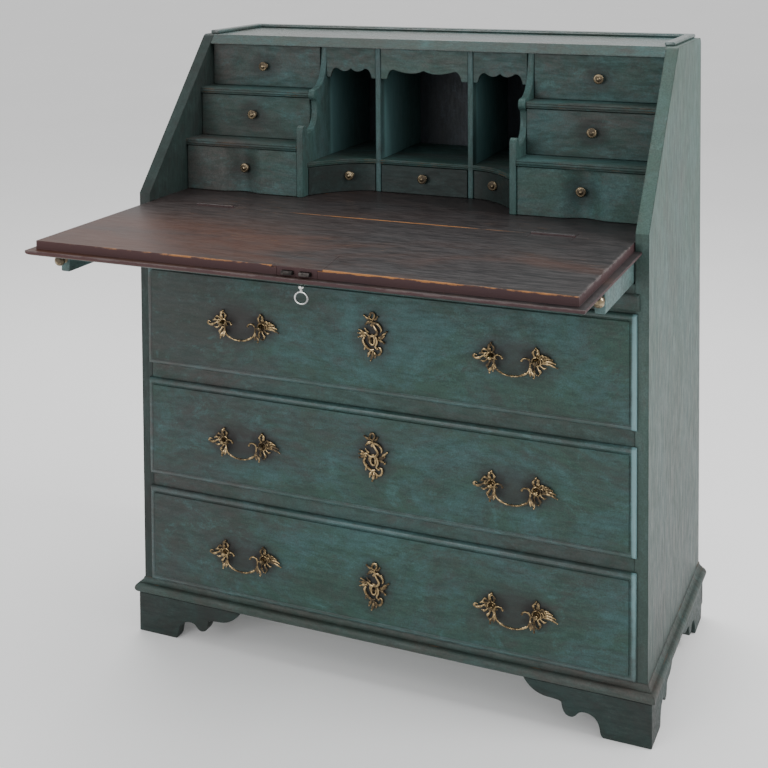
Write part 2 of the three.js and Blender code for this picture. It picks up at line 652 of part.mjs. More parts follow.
function fallBoard() {
  const rear = -0.5;
  const under = FALL_UNDER;
  const lipTop = WRITING_LEVEL - FALL_REBATE;
  const lip = platform([
    [under, 9 - LIP_HALF, LIP_HALF - 9, LIP_FRONT + 9, rear],
    [under + 0.8, 5 - LIP_HALF, LIP_HALF - 5, LIP_FRONT + 5, rear],
    [under + 2.7, 1.6 - LIP_HALF, LIP_HALF - 1.6, LIP_FRONT + 1.6, rear],
    [under + 5.2, -LIP_HALF, LIP_HALF, LIP_FRONT, rear],
    [lipTop, -LIP_HALF, LIP_HALF, LIP_FRONT, rear],
  ]);
  const core = box(-FALL_HALF, FALL_HALF, FALL_FRONT, HINGE_Y - 0.4, under, WRITING_LEVEL);
  const platePocket = alongZ(outline(plateCorners(GAP)), CASE.top - 0.2, WRITING_LEVEL + 1);
  const casePocket = box(
    LOCK_X - CASE.half - GAP, LOCK_X + CASE.half + GAP, FALL_FRONT - 1, CASE.back + GAP,
    CASE.bottom - GAP, WRITING_LEVEL + 1,
  );
  const keyhole = rod(4.2, v(LOCK_X, KEY_Y, under - 1), v(LOCK_X, KEY_Y, CASE.bottom + 1));
  return cut(union(lip, core), platePocket, casePocket, keyhole, ...leafPockets(-1));
}

function plateCorners(grow) {
  return [
    [LOCK_X - PLATE.front - grow, FALL_FRONT - grow],
    [LOCK_X + PLATE.front + grow, FALL_FRONT - grow],
    [LOCK_X + PLATE.back + grow, FALL_FRONT + PLATE.depth + grow],
    [LOCK_X - PLATE.back - grow, FALL_FRONT + PLATE.depth + grow],
  ];
}

function lockCase() {
  const plate = alongZ(outline(plateCorners(0)), CASE.top, WRITING_LEVEL);
  const outer = CASE.half;
  const inner = outer - CASE.wall;
  const shell = box(LOCK_X - outer, LOCK_X + outer, FALL_FRONT, CASE.back, CASE.bottom, CASE.top + 1);
  const room = { front: FALL_FRONT + CASE.wall, back: CASE.back - 2, bottom: CASE.bottom + 2, top: CASE.top - 2 };
  const inside = box(LOCK_X - inner, LOCK_X + inner, room.front, room.back, room.bottom, room.top);
  const keyhole = rod(3.2, v(LOCK_X, KEY_Y, CASE.bottom - 1), v(LOCK_X, KEY_Y, room.bottom + 1));
  const slots = [-1, 1].map((end) => {
    const x = LOCK_X + end * BOLT.spacing;
    const half = BOLT.half + 0.4;
    return box(x - half, x + half, FALL_FRONT - 1, FALL_FRONT + 4, BOLT.bottom - 0.4, BOLT.top + 0.4);
  });
  return cut(union(plate, shell), inside, keyhole, ...slots);
}

// Two bolt heads joined by a bar behind the key.
function lockBolt() {
  const heads = [-1, 1].map((end) => {
    const x = LOCK_X + end * BOLT.spacing;
    return box(x - BOLT.half, x + BOLT.half, BOLT.tip, KEY_Y + 9, BOLT.bottom, BOLT.top);
  });
  const bar = box(LOCK_X - 22.5, LOCK_X + 22.5, KEY_Y + 8, KEY_Y + 13, BOLT.bottom, BOLT.top);
  return union(...heads, bar);
}

function fallKey() {
  const bow = new THREE.TorusGeometry(9.3, 1.5, 6, 18);
  bow.rotateX(Math.PI / 2);
  bow.translate(LOCK_X, KEY_Y, 731);
  const stem = turned(
    [
      [0, 738.8],
      [2.2, 738.8],
      [2.2, 743],
      [4.2, 745.5],
      [4.2, 748],
      [2.4, 750],
      [2.4, 773],
      [0, 773],
    ],
    v(0, 1, 0),
    v(0, 0, 0),
    8,
  );
  const upright = stem.rotate([90, 0, 0]).translate([LOCK_X, KEY_Y, 0]);
  const bit = box(LOCK_X, LOCK_X + 5, KEY_Y - 0.8, KEY_Y + 0.8, 767, 772.5);
  return union(toSolid(bow), upright, bit);
}

const RELIEF = 3.7; // a leaf stops this far from the pin where the other one has its knuckle

// One hinge: the bed leaf carries the outer knuckles and the pin, the fall leaf the middle one.
function bedLeaf(x) {
  const top = WRITING_LEVEL;
  const middle = LEAF.middle + GAP;
  const plate = box(x - LEAF.half, x + LEAF.half, HINGE_Y, HINGE_Y + LEAF.width, top - LEAF.thick, top);
  const barrel = rod(LEAF.knuckle, v(x - LEAF.half, HINGE_Y, top), v(x + LEAF.half, HINGE_Y, top));
  const pin = rod(1.4, v(x - LEAF.half + 1, HINGE_Y, top), v(x + LEAF.half - 1, HINGE_Y, top), 8);
  const relief = box(x - middle, x + middle, HINGE_Y - 5, HINGE_Y + RELIEF, top - 5, top + 5);
  return union(cut(union(plate, barrel), relief), pin);
}

function fallLeaf(x) {
  const top = WRITING_LEVEL;
  const middle = LEAF.middle;
  const plate = box(x - LEAF.half, x + LEAF.half, HINGE_Y - LEAF.width, HINGE_Y, top - LEAF.thick, top);
  const barrel = rod(LEAF.knuckle, v(x - middle, HINGE_Y, top), v(x + middle, HINGE_Y, top));
  const reliefs = [-1, 1].map((s) => {
    const x0 = x + (s < 0 ? -LEAF.half - 1 : middle);
    return box(x0, x0 + LEAF.half + 1 - middle, HINGE_Y - RELIEF, HINGE_Y + 5, top - 5, top + 5);
  });
  const bore = rod(1.7, v(x - 50, HINGE_Y, top), v(x + 50, HINGE_Y, top), 8);
  return cut(union(plate, barrel), ...reliefs, bore);
}

add('fall_board', fallBoard(), darkFall);
add('fall_lock', lockCase(), iron);
add('fall_lock_bolt', lockBolt(), iron);
add('fall_key', fallKey(), steel);
for (const [name, side] of SPACES) {
  const x = side * HINGES[1];
  add(`hinge_bed_leaf_${name}`, bedLeaf(x), iron);
  add(`hinge_fall_leaf_${name}`, fallLeaf(x), iron);
}

// ---- Origin: under the centre of the bounding box -----------------------------------------
desk.position.y = -(LIP_FRONT + DEPTH) / 2;

export default desk;
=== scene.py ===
"""Looks of a painted slant-front writing desk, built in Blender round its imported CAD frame.

Lengths are millimetres until pt() turns them into the row frame's metres. Y = 0 is the front
plane of the case, as in the CAD source, and FRONT_Y is where that plane lies in the row frame.
"""
import math

import bmesh
import bpy
from mathutils import Matrix, Vector


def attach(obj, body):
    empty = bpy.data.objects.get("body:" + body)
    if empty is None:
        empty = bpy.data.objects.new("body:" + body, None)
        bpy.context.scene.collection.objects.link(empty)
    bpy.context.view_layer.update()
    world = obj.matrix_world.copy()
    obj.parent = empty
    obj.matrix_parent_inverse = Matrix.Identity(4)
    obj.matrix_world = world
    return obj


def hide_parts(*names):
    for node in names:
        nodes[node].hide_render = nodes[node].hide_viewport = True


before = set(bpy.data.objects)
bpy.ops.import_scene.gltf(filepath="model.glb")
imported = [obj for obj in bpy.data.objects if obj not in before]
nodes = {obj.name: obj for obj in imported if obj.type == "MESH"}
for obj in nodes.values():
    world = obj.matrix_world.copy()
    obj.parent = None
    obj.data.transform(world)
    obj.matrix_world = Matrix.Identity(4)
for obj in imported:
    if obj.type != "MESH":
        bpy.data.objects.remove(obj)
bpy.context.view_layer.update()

MM = 0.001
FRONT_Y = -51.5
scene = bpy.context.scene

# ---- Dimensions ----
HALF = 450
INSIDE = 429
DEPTH = 450
BACK_INNER = 438
CEILING = 1040
BED = 778
FOOT_TOP = 70
FOOT_OUT = 8
FOOT_THICK = 20
MOULDING_BOTTOM = 70.2
MOULDING_TOP = 97
FIELD = 10
HANDLE_X = 241
POST_X = 37
PLATE_X = 2
PIVOT = 9
SIDES = (("left", -1), ("right", 1))
# post and plate are the heights of the handle posts and keyhole plate, turn the plate's tilt.
LONG_DRAWERS = {
    "upper": dict(bottom=489.5, top=669.5, post=580, plate=588, turn=0),
    "middle": dict(bottom=291, top=464, post=374, plate=387, turn=2),
    "lower": dict(bottom=97.5, top=268.5, post=176, plate=169, turn=-2),
}
# Each tier of small drawers: its name, bottom, top, front, knob X and knob height.
STACK_TIERS = (
    ("top", 961, 1040, 234, 318, 999.5),
    ("middle", 871, 950, 187, 318, 914.5),
    ("bottom", 778, 860, 131, 311, 823),
)
# Each shelf in the stacks: its name, bottom, top and front.
SHELVES = (("upper", 950, 961, 184), ("lower", 860, 871, 128))
# Faces of the stepped dividers and of the straight ones, from the middle.
STEPPED_INNER = 191
STEPPED_OUTER = 203
PIGEON_HALF = 83
PIGEON_OUTER = 93
PIGEON_FLOOR = (829, 838)
VALANCE_DEPTHS = (234, 240)
ROW_TOP = 828
ROW_FRONT = 232
ROW_KNOB_X = 136
ROW_KNOB_Z = 808
BOX_HALF = 427.5
LOPER_OUT = {"left": 270, "right": 184}
LOPER_INNER = 411
LOPER_OUTER = 427
LOPER_LENGTH = 380
LOPER_BOTTOM = 715.5
LOPER_TOP = 755.7
LOPER_KNOB_X = 420
LOPER_KNOB_Z = 736
KEY_X = 21
KEY_Y = -319


def pt(x, y, z):
    """A point of the case, in millimetres, as a row-frame vector in metres."""
    return Vector((x * MM, (y + FRONT_Y) * MM, z * MM))


# ---- Camera ----
CAMERA_PLACE = (872.07, -2075.81, 1256.57)
YAW, PITCH, ROLL = 0.4237, 0.048, -0.0077
LENS = 64.87
SENSOR = 36
SHIFT = (0.0619, -0.5062)


def make_camera():
    forward = Vector((-math.sin(YAW) * math.cos(PITCH), math.cos(YAW) * math.cos(PITCH), -math.sin(PITCH)))
    level = Vector((math.cos(YAW), math.sin(YAW), 0))
    upright = level.cross(forward)
    right = math.cos(ROLL) * level + math.sin(ROLL) * upright
    up = -math.sin(ROLL) * level + math.cos(ROLL) * upright
    data = bpy.data.cameras.new("camera")
    data.lens = LENS
    data.sensor_width = SENSOR
    data.shift_x, data.shift_y = SHIFT
    camera = bpy.data.objects.new("camera", data)
    scene.collection.objects.link(camera)
    turn = Matrix((right, up, -forward)).transposed().to_4x4()
    camera.matrix_world = Matrix.Translation(pt(*CAMERA_PLACE)) @ turn
    scene.camera = camera


make_camera()


# ---- Light ----
def area_light(name, place, target, size, power):
    data = bpy.data.lights.new(name, "AREA")
    data.shape = "RECTANGLE"
    data.size, data.size_y = size
    data.energy = power
    light = bpy.data.objects.new(name, data)
    scene.collection.objects.link(light)
    place, target = Vector(place), Vector(target)
    turn = (target - place).to_track_quat("-Z", "Y").to_matrix().to_4x4()
    light.matrix_world = Matrix.Translation(place) @ turn


area_light("key", place=(-1.25, -3.8, 1.45), target=(0, 0, 0.65), size=(2.0, 1.6), power=66)
area_light("window_right", place=(2.2, 0.1, 2.2), target=(0.45, 0.2, 1.0), size=(1.2, 1.2), power=50)
area_light("top", place=(-0.7, 1.5, 3.3), target=(0, 0.2, 0.9), size=(2.4, 1.8), power=60)


# ---- Material building ----
class Shader:
    """Wires the nodes of one material."""

    def __init__(self, name):
        self.material = bpy.data.materials.new(name)
        self.material.use_nodes = True
        self.tree = self.material.node_tree
        self.tree.nodes.clear()
        self.surface = self.add("ShaderNodeBsdfPrincipled")
        output = self.add("ShaderNodeOutputMaterial")
        self.link(self.surface.outputs[0], output.inputs[0])
        self.place = self.add("ShaderNodeTexCoord").outputs["Object"]

    def add(self, kind, **settings):
        node = self.tree.nodes.new(kind)
        for key, value in settings.items():
            setattr(node, key, value)
        return node

    def link(self, source, target):
        if isinstance(source, (int, float)):
            target.default_value = source
        elif isinstance(source, tuple):
            target.default_value = (*source, 1) if len(target.default_value) == 4 else source
        else:
            self.tree.links.new(source, target)

    def set(self, **values):
        for key, value in values.items():
            self.link(value, self.surface.inputs[key.replace("_", " ")])

    def stretched(self, scale):
        node = self.add("ShaderNodeMapping")
        self.link(self.place, node.inputs["Vector"])
        node.inputs["Scale"].default_value = scale
        return node.outputs[0]

    def noise(self, scale, detail=4, stretch=(1, 1, 1), rough=0.55, warp=0):
        node = self.add("ShaderNodeTexNoise")
        self.link(self.stretched(stretch), node.inputs["Vector"])
        node.inputs["Scale"].default_value = scale
        node.inputs["Detail"].default_value = detail
        node.inputs["Roughness"].default_value = rough
        node.inputs["Distortion"].default_value = warp
        return node.outputs["Fac"]

    def ramp(self, source, low, high, a=0.0, b=1.0):
        node = self.add("ShaderNodeMapRange", interpolation_type="SMOOTHSTEP")
        self.link(source, node.inputs["Value"])
        for key, value in (("From Min", low), ("From Max", high), ("To Min", a), ("To Max", b)):
            node.inputs[key].default_value = value
        return node.outputs[0]

    def maths(self, operation, a, b):
        node = self.add("ShaderNodeMath", operation=operation)
        self.link(a, node.inputs[0])
        self.link(b, node.inputs[1])
        return node.outputs[0]

    def vector_maths(self, operation, a, b):
        node = self.add("ShaderNodeVectorMath", operation=operation)
        self.link(a, node.inputs[0])
        self.link(b, node.inputs[1])
        return node.outputs

    def split(self, source):
        node = self.add("ShaderNodeSeparateXYZ")
        self.link(source, node.inputs[0])
        return node.outputs

    def mix(self, amount, a, b):
        node = self.add("ShaderNodeMix", data_type="RGBA")
        self.link(amount, node.inputs[0])
        self.link(a, node.inputs[6])
        self.link(b, node.inputs[7])
        return node.outputs[2]

    def edges(self, radius, low=0.02, high=0.25):
        """1 along arrises and in corners, 0 on the flat."""
        soft = self.add("ShaderNodeBevel", samples=6)
        soft.inputs["Radius"].default_value = radius
        true = self.add("ShaderNodeNewGeometry").outputs["Normal"]
        agreement = self.vector_maths("DOT_PRODUCT", soft.outputs[0], true)["Value"]
        return self.ramp(self.maths("SUBTRACT", 1.0, agreement), low, high)

    def bump(self, height, strength, distance):
        node = self.add("ShaderNodeBump")
        node.inputs["Strength"].default_value = strength
        node.inputs["Distance"].default_value = distance
        self.link(height, node.inputs["Height"])
        self.link(node.outputs[0], self.surface.inputs["Normal"])


# Stretches noise into grain that runs along an axis.
ALONG = {"x": (1, 9, 9), "z": (9, 9, 1), "y": (9, 1, 9)}

# Tones that the paint and wood recipes mix in.
PALE_MARK = (0.10, 0.165, 0.160)
SPECKLE = (0.012, 0.018, 0.017)
LOW_SHADE = (0.014, 0.018, 0.017)
GRIME_AND_SHADE = (0.013, 0.014, 0.013)
RUBBED_WOOD = (0.17, 0.085, 0.040)
BLACK_DEEP = (0.012, 0.011, 0.012)
BLACK_WORN = (0.046, 0.041, 0.041)
WARM_RUB = (0.082, 0.032, 0.019)
WOOD_FLECK = (0.34, 0.155, 0.055)
SCRATCH = (0.095, 0.088, 0.085)
EDGE_BROWN = (0.058, 0.029, 0.031)
WOOD_TINT = (0.22, 0.135, 0.070)
WOOD_DIRT = (0.045, 0.033, 0.024)
WOOD_EDGE_DIRT_AND_SHADE = (0.05, 0.035, 0.025)


def paint(name, grain="x", teal=(0.031, 0.073, 0.057), blue=(0.042, 0.104, 0.104),
          stain=(0.052, 0.043, 0.040), stained=0.8, left=0.35, edge_dark=0.75, worn=0.60, rough=0.50,
          shine=0.22, brush=0.40, painted_shade=0.0, deep=0.0, halos=()):
    """Old green-blue paint over orange-brown wood, with a dark glaze left in its brush marks.

    left makes the paint browner and darker towards the left end. painted_shade is painted shade:
    the paint darker towards the floor and on faces turned to the front. deep is painted light on
    the pigeonhole walls just behind their front edges. A lower worn bares more wood on the
    arrises. edge_dark sets the dark dirt along the arrises and the painted shade in the corners.
    halos are patches of another tone, used for dark wax, painted shade and a painted highlight:
    (centre, reach, how much, tone)."""
    s = Shader(name)
    stretch = tuple(1 + 0.5 * (v - 1) for v in ALONG[grain])
    soft = tuple(0.6 + 0.06 * v for v in ALONG[grain])
    where = s.split(s.place)
    colour = s.mix(s.ramp(s.noise(7.5, 8, soft, 0.78, 0.6), 0.42, 0.62), teal, blue)
    browner = s.maths("MULTIPLY", s.ramp(where["X"], -0.45, 0.0, left, 0), 0.3)
    stains = s.maths("ADD", s.noise(4.6, 9, soft, 0.80, 0.9), browner)
    colour = s.mix(s.ramp(stains, 0.40, 0.72, 0, stained), colour, stain)
    dabs = s.ramp(s.noise(26, 6, soft, 0.8, 0.4), 0.52, 0.70, 0, 0.5)
    colour = s.mix(dabs, colour, tuple(1.5 * v for v in blue))
    warm_dabs = s.ramp(s.noise(31, 6, soft, 0.8, 0.4), 0.52, 0.70, 0, 0.5)
    colour = s.mix(warm_dabs, colour, tuple(1.1 * v for v in stain))
    streaks = s.noise(30, 6, stretch, 0.72)
    colour = s.mix(s.ramp(streaks, 0.38, 0.70, 0, brush), colour, tuple(0.40 * v for v in teal))
    light_marks = s.ramp(s.noise(38, 6, stretch, 0.78), 0.58, 0.78, 0, 0.6 * brush)
    colour = s.mix(light_marks, colour, PALE_MARK)
    fine = s.noise(420, 3, (1, 1, 1), 0.6)
    colour = s.mix(s.ramp(fine, 0.30, 0.70, 0, 0.34), colour, SPECKLE)
    # Painted light: the pigeonhole walls lighter just behind their front edges, less further in.
    if deep:
        into = s.maths("MULTIPLY", s.ramp(where["Y"], 0.192, 0.205),
                       s.ramp(where["Y"], 0.21, 0.34, deep, 0.15))
        colour = s.mix(into, colour, tuple(2.1 * v for v in blue))
    # Painted shade: the paint darker towards the floor and on faces turned to the front.
    if painted_shade:
        facing = s.split(s.add("ShaderNodeTexCoord").outputs["Normal"])
        frontal = s.ramp(facing["Y"], -0.95, -0.8, 0.26, 0)
        lower = s.maths("MAXIMUM", frontal, s.ramp(where["Z"], 0.05, 0.95, painted_shade, 0))
        colour = s.mix(lower, colour, LOW_SHADE)
    ragged = s.noise(46, 5, (1, 1, 1), 0.7)
    for centre, reach, most, tone in halos:
        colour = s.mix(near(s, centre, reach, ragged, most), colour, tone)
    # Dirt along the arrises and painted shade in the corners, from one mask.
    grime_and_shade = s.maths("MULTIPLY", s.edges(0.0045), s.ramp(ragged, 0.30, 0.62, 0.25 * edge_dark, edge_dark))
    colour = s.mix(grime_and_shade, colour, GRIME_AND_SHADE)
    tight = s.edges(0.0018, 0.05, 0.35)
    rubbed = s.maths("MULTIPLY", tight, s.ramp(s.noise(17, 4, (1, 1, 1), 0.6), worn, worn + 0.07))
    colour = s.mix(rubbed, colour, RUBBED_WOOD)
    gloss = s.ramp(streaks, 0.3, 0.7, rough - 0.07, rough + 0.12)
    s.set(Base_Color=colour, Roughness=gloss, Specular_IOR_Level=shine)
    s.bump(s.maths("ADD", s.maths("MULTIPLY", streaks, 0.8), s.maths("MULTIPLY", fine, 0.25)), 0.35, 0.0006)
    return s.material


def near(s, centre, reach, ragged, most):
    """most at the centre, falling unevenly to 0 at the reach, in metres along X, Y and Z."""
    shifted = s.vector_maths("SUBTRACT", s.place, tuple(centre))[0]
    scaled = s.vector_maths("DIVIDE", shifted, reach)[0]
    distance = s.vector_maths("LENGTH", scaled, (0, 0, 0))["Value"]
    uneven = s.maths("MULTIPLY", s.maths("SUBTRACT", ragged, 0.5), 0.5)
    return s.ramp(s.maths("ADD", distance, uneven), 0.35, 1.0, most, 0)


def charcoal(name, lines=()):
    """Worn near-black paint on the fall and bed, rubbed through to orange-brown wood along the grain.

    lines are the rubbed arrises: (a point, its reach, how much, the colour). The face turned down
    in the open fall, which is its outside when closed, takes the green paint of the case."""
    s = Shader(name)
    streaks = s.noise(30, 8, (0.8, 7, 7), 0.8)
    colour = s.mix(s.ramp(streaks, 0.36, 0.66), BLACK_DEEP, BLACK_WORN)
    where = s.split(s.place)
    to_left = s.ramp(where["X"], -0.35, 0.25, 0.24, 0)
    warm = s.maths("ADD", s.noise(3.2, 6, (0.6, 1.6, 1.6), 0.64, 0.5), to_left)
    forward = s.ramp(where["Y"], -0.26, -0.08, 1, 0.15)
    rubbed = s.maths("MULTIPLY", s.ramp(warm, 0.46, 0.76, 0, 0.75), forward)
    colour = s.mix(rubbed, colour, WARM_RUB)
    flecks = s.ramp(s.noise(34, 9, (0.6, 12, 12), 0.82), 0.58, 0.66, 0, 0.85)
    sparse = s.ramp(s.noise(2.6, 4, (1, 2.2, 1), 0.6), 0.50, 0.64)
    colour = s.mix(s.maths("MULTIPLY", flecks, sparse), colour, WOOD_FLECK)
    scratches = s.ramp(s.noise(60, 8, (0.5, 10, 10), 0.85), 0.57, 0.70, 0, 0.5)
    colour = s.mix(scratches, colour, SCRATCH)
    facing = s.split(s.add("ShaderNodeTexCoord").outputs["Normal"])
    upright = s.ramp(s.maths("ABSOLUTE", facing["Z"], 0), 0.3, 0.8, 1.0, 0)
    colour = s.mix(s.maths("MULTIPLY", upright, 0.8), colour, EDGE_BROWN)
    patches = s.ramp(s.noise(11, 9, (1, 3, 3), 0.82), 0.4, 0.6)
    green = s.mix(patches, (0.028, 0.066, 0.052), (0.036, 0.086, 0.084))
    browned = s.ramp(s.noise(6, 9, (1, 3, 3), 0.85), 0.42, 0.70, 0, 0.6)
    green = s.mix(browned, green, (0.044, 0.038, 0.036))
    colour = s.mix(s.ramp(facing["Z"], -0.9, -0.75, 1, 0), colour, green)
    ragged = s.ramp(s.noise(16, 9, (1, 3, 3), 0.8), 0.40, 0.62, 0.0, 1.9)
    for centre, reach, most, tone in lines:
        colour = s.mix(near(s, centre, reach, ragged, most), colour, tone)
    gloss = s.maths("ADD", s.ramp(streaks, 0.3, 0.7, 0.30, 0.44), s.maths("MULTIPLY", upright, 0.25))
    s.set(Base_Color=colour, Roughness=gloss, Specular_IOR_Level=0.18)
    s.bump(s.maths("ADD", streaks, s.maths("MULTIPLY", s.noise(300, 3), 0.6)), 0.07, 0.0004)
    return s.material


def bare_wood(name, grain):
    """Unpainted softwood, dirtied by age, with its grain along an axis and painted shade in its corners."""
    s = Shader(name)
    stretch = ALONG[grain]
    rings = s.noise(14, 6, stretch, 0.65, 1.2)
    colour = s.mix(s.ramp(rings, 0.3, 0.7), tuple(0.55 * v for v in WOOD_TINT), WOOD_TINT)
    pores = s.noise(90, 4, stretch, 0.7)
    colour = s.mix(s.ramp(pores, 0.55, 0.75, 0, 0.5), colour, tuple(0.3 * v for v in WOOD_TINT))
    dirt = s.ramp(s.noise(5, 4), 0.45, 0.75, 0, 0.55)
    colour = s.mix(dirt, colour, WOOD_DIRT)
    # Darker along the arrises and in the corners: dirt, and painted shade in the corners.
    colour = s.mix(s.maths("MULTIPLY", s.edges(0.003), 0.5), colour, WOOD_EDGE_DIRT_AND_SHADE)
    s.set(Base_Color=colour, Roughness=s.ramp(rings, 0.3, 0.7, 0.6, 0.78))
    s.bump(s.maths("ADD", rings, s.maths("MULTIPLY", pores, 0.5)), 0.3, 0.0005)
    return s.material


def metal(name, bright, dark, rough, dirt=0.6, scale=70):
    """Cast or forged metal: bright where hands touch it, dull and dark in the hollows, from patina and from
    painted shade.
    """
    s = Shader(name)
    raised = s.ramp(s.add("ShaderNodeNewGeometry").outputs["Pointiness"], 0.47, 0.57)
    # Ambient occlusion darkens the hollows: patina, and painted shade.
    shelter = s.add("ShaderNodeAmbientOcclusion", samples=6)
    shelter.inputs["Distance"].default_value = 0.005
    open_air = s.ramp(shelter.outputs["AO"], 0.35, 0.90)
    spots = s.ramp(s.noise(scale, 6, (1, 1, 1), 0.7), 0.40, 0.58, 0.12, 1)
    proud = s.maths("ADD", s.maths("MULTIPLY", raised, dirt), 1 - dirt)
    worn = s.maths("MULTIPLY", proud, s.maths("MULTIPLY", spots, open_air))
    colour = s.mix(worn, dark, bright)
    shine = s.ramp(worn, 0.0, 0.4, 0.6, 1.0)
    s.set(Base_Color=colour, Metallic=shine, Roughness=s.ramp(worn, 0, 0.8, rough + 0.3, rough))
    s.bump(s.maths("ADD", s.noise(900, 3), s.maths("MULTIPLY", spots, 0.6)), 0.3, 0.0003)
    return s.material


WAX = (0.028, 0.023, 0.023)
SHADE = (0.016, 0.012, 0.012)
DARK_STAIN = (0.042, 0.038, 0.036)
DRAWER_TONES = {
    "upper": dict(stain=DARK_STAIN, left=0.7),
    "middle": dict(stain=DARK_STAIN, left=0.4),
    "lower": dict(stain=DARK_STAIN, stained=0.85, left=0.5),
}


def drawer_material(name):
    """Drawer paint with dark wax round its two handles and its keyhole plate, and painted shade tight round
    the handle posts and the keyhole plate.
    """
    size = LONG_DRAWERS[name]
    halos = []
    for _, side in SIDES:
        handle = side * HANDLE_X
        halos.append((pt(handle, -FIELD, size["post"]), (0.085, 0.1, 0.05), 0.6, WAX))
        # Painted shade tight round each post.
        for post in (handle - POST_X, handle + POST_X):
            halos.append((pt(post, -FIELD, size["post"]), (0.032, 0.1, 0.032), 0.6, SHADE))
    halos.append((pt(PLATE_X, -FIELD, size["plate"]), (0.045, 0.1, 0.06), 0.6, WAX))
    # Painted shade tight round the keyhole plate.
    halos.append((pt(PLATE_X, -FIELD, size["plate"]), (0.026, 0.1, 0.042), 0.75, SHADE))
    return paint(f"drawer_paint_{name}", "x", halos=halos, **DRAWER_TONES[name])


def knob_shade(tiers):
    """Painted shade round the knobs of the small drawers in the two stacks."""
    reach = (0.040, 0.06, 0.034)
    spots = []
    for _, _, _, front, knob_x, knob_z in tiers:
        for _, side in SIDES:
            spots.append((pt(side * knob_x, front, knob_z), reach, 0.5, SHADE))
    return spots


case_x = paint("case_paint_rails", "x", teal=(0.034, 0.066, 0.055), blue=(0.042, 0.086, 0.082),
               stained=0.95)
moulding_x = paint("case_paint_moulding", "x", teal=(0.042, 0.062, 0.052), blue=(0.046, 0.078, 0.072),
                   stain=(0.068, 0.054, 0.048), stained=0.95, left=0, worn=0.56)
# A lighter copy of the case paint for the right side, as painted light where the right-hand lamp falls, with
# painted shade low down and on its front edge.
case_lit_side = paint("case_paint_right_side_lit", "z", teal=(0.062, 0.112, 0.094), blue=(0.076, 0.132, 0.122),
               stain=(0.076, 0.086, 0.074), left=0, rough=0.44, shine=0.22, brush=0.22, painted_shade=0.55)
case_left = paint("case_paint_left_side", "z", teal=(0.026, 0.042, 0.038), blue=(0.034, 0.056, 0.052),
                  stain=(0.026, 0.023, 0.022), stained=0.95, left=0)
top_x = paint("case_paint_top", "x", teal=(0.058, 0.086, 0.074), blue=(0.050, 0.110, 0.108),
              left=0, rough=0.24, shine=0.6)
foot_x = paint("case_paint_feet", "x", teal=(0.016, 0.034, 0.029), blue=(0.023, 0.046, 0.042),
               stain=(0.024, 0.020, 0.019), stained=0.85)
# A painted highlight down the right-hand bead of the long drawers, where it faces the lamp on the right.
BEAD_HIGHLIGHT = (0.16, 0.29, 0.31)
bead_x = paint("bead_paint", "x", teal=(0.030, 0.070, 0.062), blue=(0.060, 0.125, 0.128),
               stain=(0.055, 0.040, 0.037), stained=0.8, edge_dark=0.35, worn=0.55, rough=0.36, shine=0.4,
               halos=[(pt(430, -7, 460), (0.0062, 0.04, 0.44), 0.7, BEAD_HIGHLIGHT)])
inner_x = paint("interior_paint_boards", "x", teal=(0.030, 0.066, 0.056), stain=(0.064, 0.056, 0.052),
                stained=0.95, left=0.3, worn=0.54, halos=knob_shade(STACK_TIERS[:2]))
# A paler copy of the interior paint, as painted light, for the lowest small drawers and the middle valance.
inner_lit = paint("interior_paint_lit_copy", "x", teal=(0.046, 0.092, 0.078), blue=(0.060, 0.130, 0.130),
                  stain=(0.082, 0.070, 0.065), stained=0.9, left=0.3, halos=knob_shade(STACK_TIERS[2:]))
inner_row = paint("interior_paint_row", "x", teal=(0.018, 0.028, 0.026), blue=(0.024, 0.042, 0.040),
                  stain=(0.025, 0.022, 0.021))
# The dividers take painted light inside the pigeonholes.
inner_z = paint("interior_paint_dividers", "z", teal=(0.046, 0.100, 0.092), blue=(0.062, 0.124, 0.126),
                stained=0.6, edge_dark=0.6, deep=0.75)
loper_x = paint("loper_paint", "x", teal=(0.078, 0.130, 0.122), blue=(0.100, 0.170, 0.170),
                stained=0.5, left=0)
dark_back = paint("dark_back_paint", "z", teal=(0.034, 0.040, 0.047), blue=(0.040, 0.050, 0.066),
                  stain=(0.026, 0.026, 0.029), left=0)
ORANGE = (0.36, 0.155, 0.048)
GREY = (0.15, 0.13, 0.125)
# The fall's front arris, its joint with the bed, its lower edge and its right-hand edge.
fall_finish = charcoal("fall_paint", [
    (pt(0, -333, BED), (0.60, 0.0024, 0.0024), 0.4, GREY),
    (pt(90, -333, BED), (0.52, 0.0027, 0.0027), 0.95, ORANGE),
    (pt(40, 5, BED), (0.20, 0.0030, 0.0060), 0.85, ORANGE),
    (pt(0, -347, 764.7), (9, 0.0030, 0.0030), 0.4, GREY),
    (pt(427.5, -160, BED), (0.004, 0.30, 0.0040), 0.5, GREY),
])
hardware_paint = charcoal("painted_over_hardware")
old_wood = bare_wood("old_softwood", "y")
old_wood_x = bare_wood("old_softwood_boards", "x")
brass = metal("aged_brass", (0.36, 0.262, 0.140), (0.026, 0.018, 0.011), 0.20)
knob_brass = metal("knob_brass", (0.35, 0.28, 0.18), (0.055, 0.042, 0.028), 0.26, 0.5)
iron = metal("old_iron", (0.070, 0.062, 0.058), (0.018, 0.016, 0.015), 0.42)
steel = metal("key_steel", (0.62, 0.62, 0.60), (0.20, 0.20, 0.20), 0.16, 0.3, 30)
keyhole_dark = metal("keyhole_shadow", (0.012, 0.011, 0.010), (0.006, 0.005, 0.005), 0.7)


# ---- Floor and surroundings ----
FLOOR_GLOW = 0.10
WORLD_LIGHT = 0.82


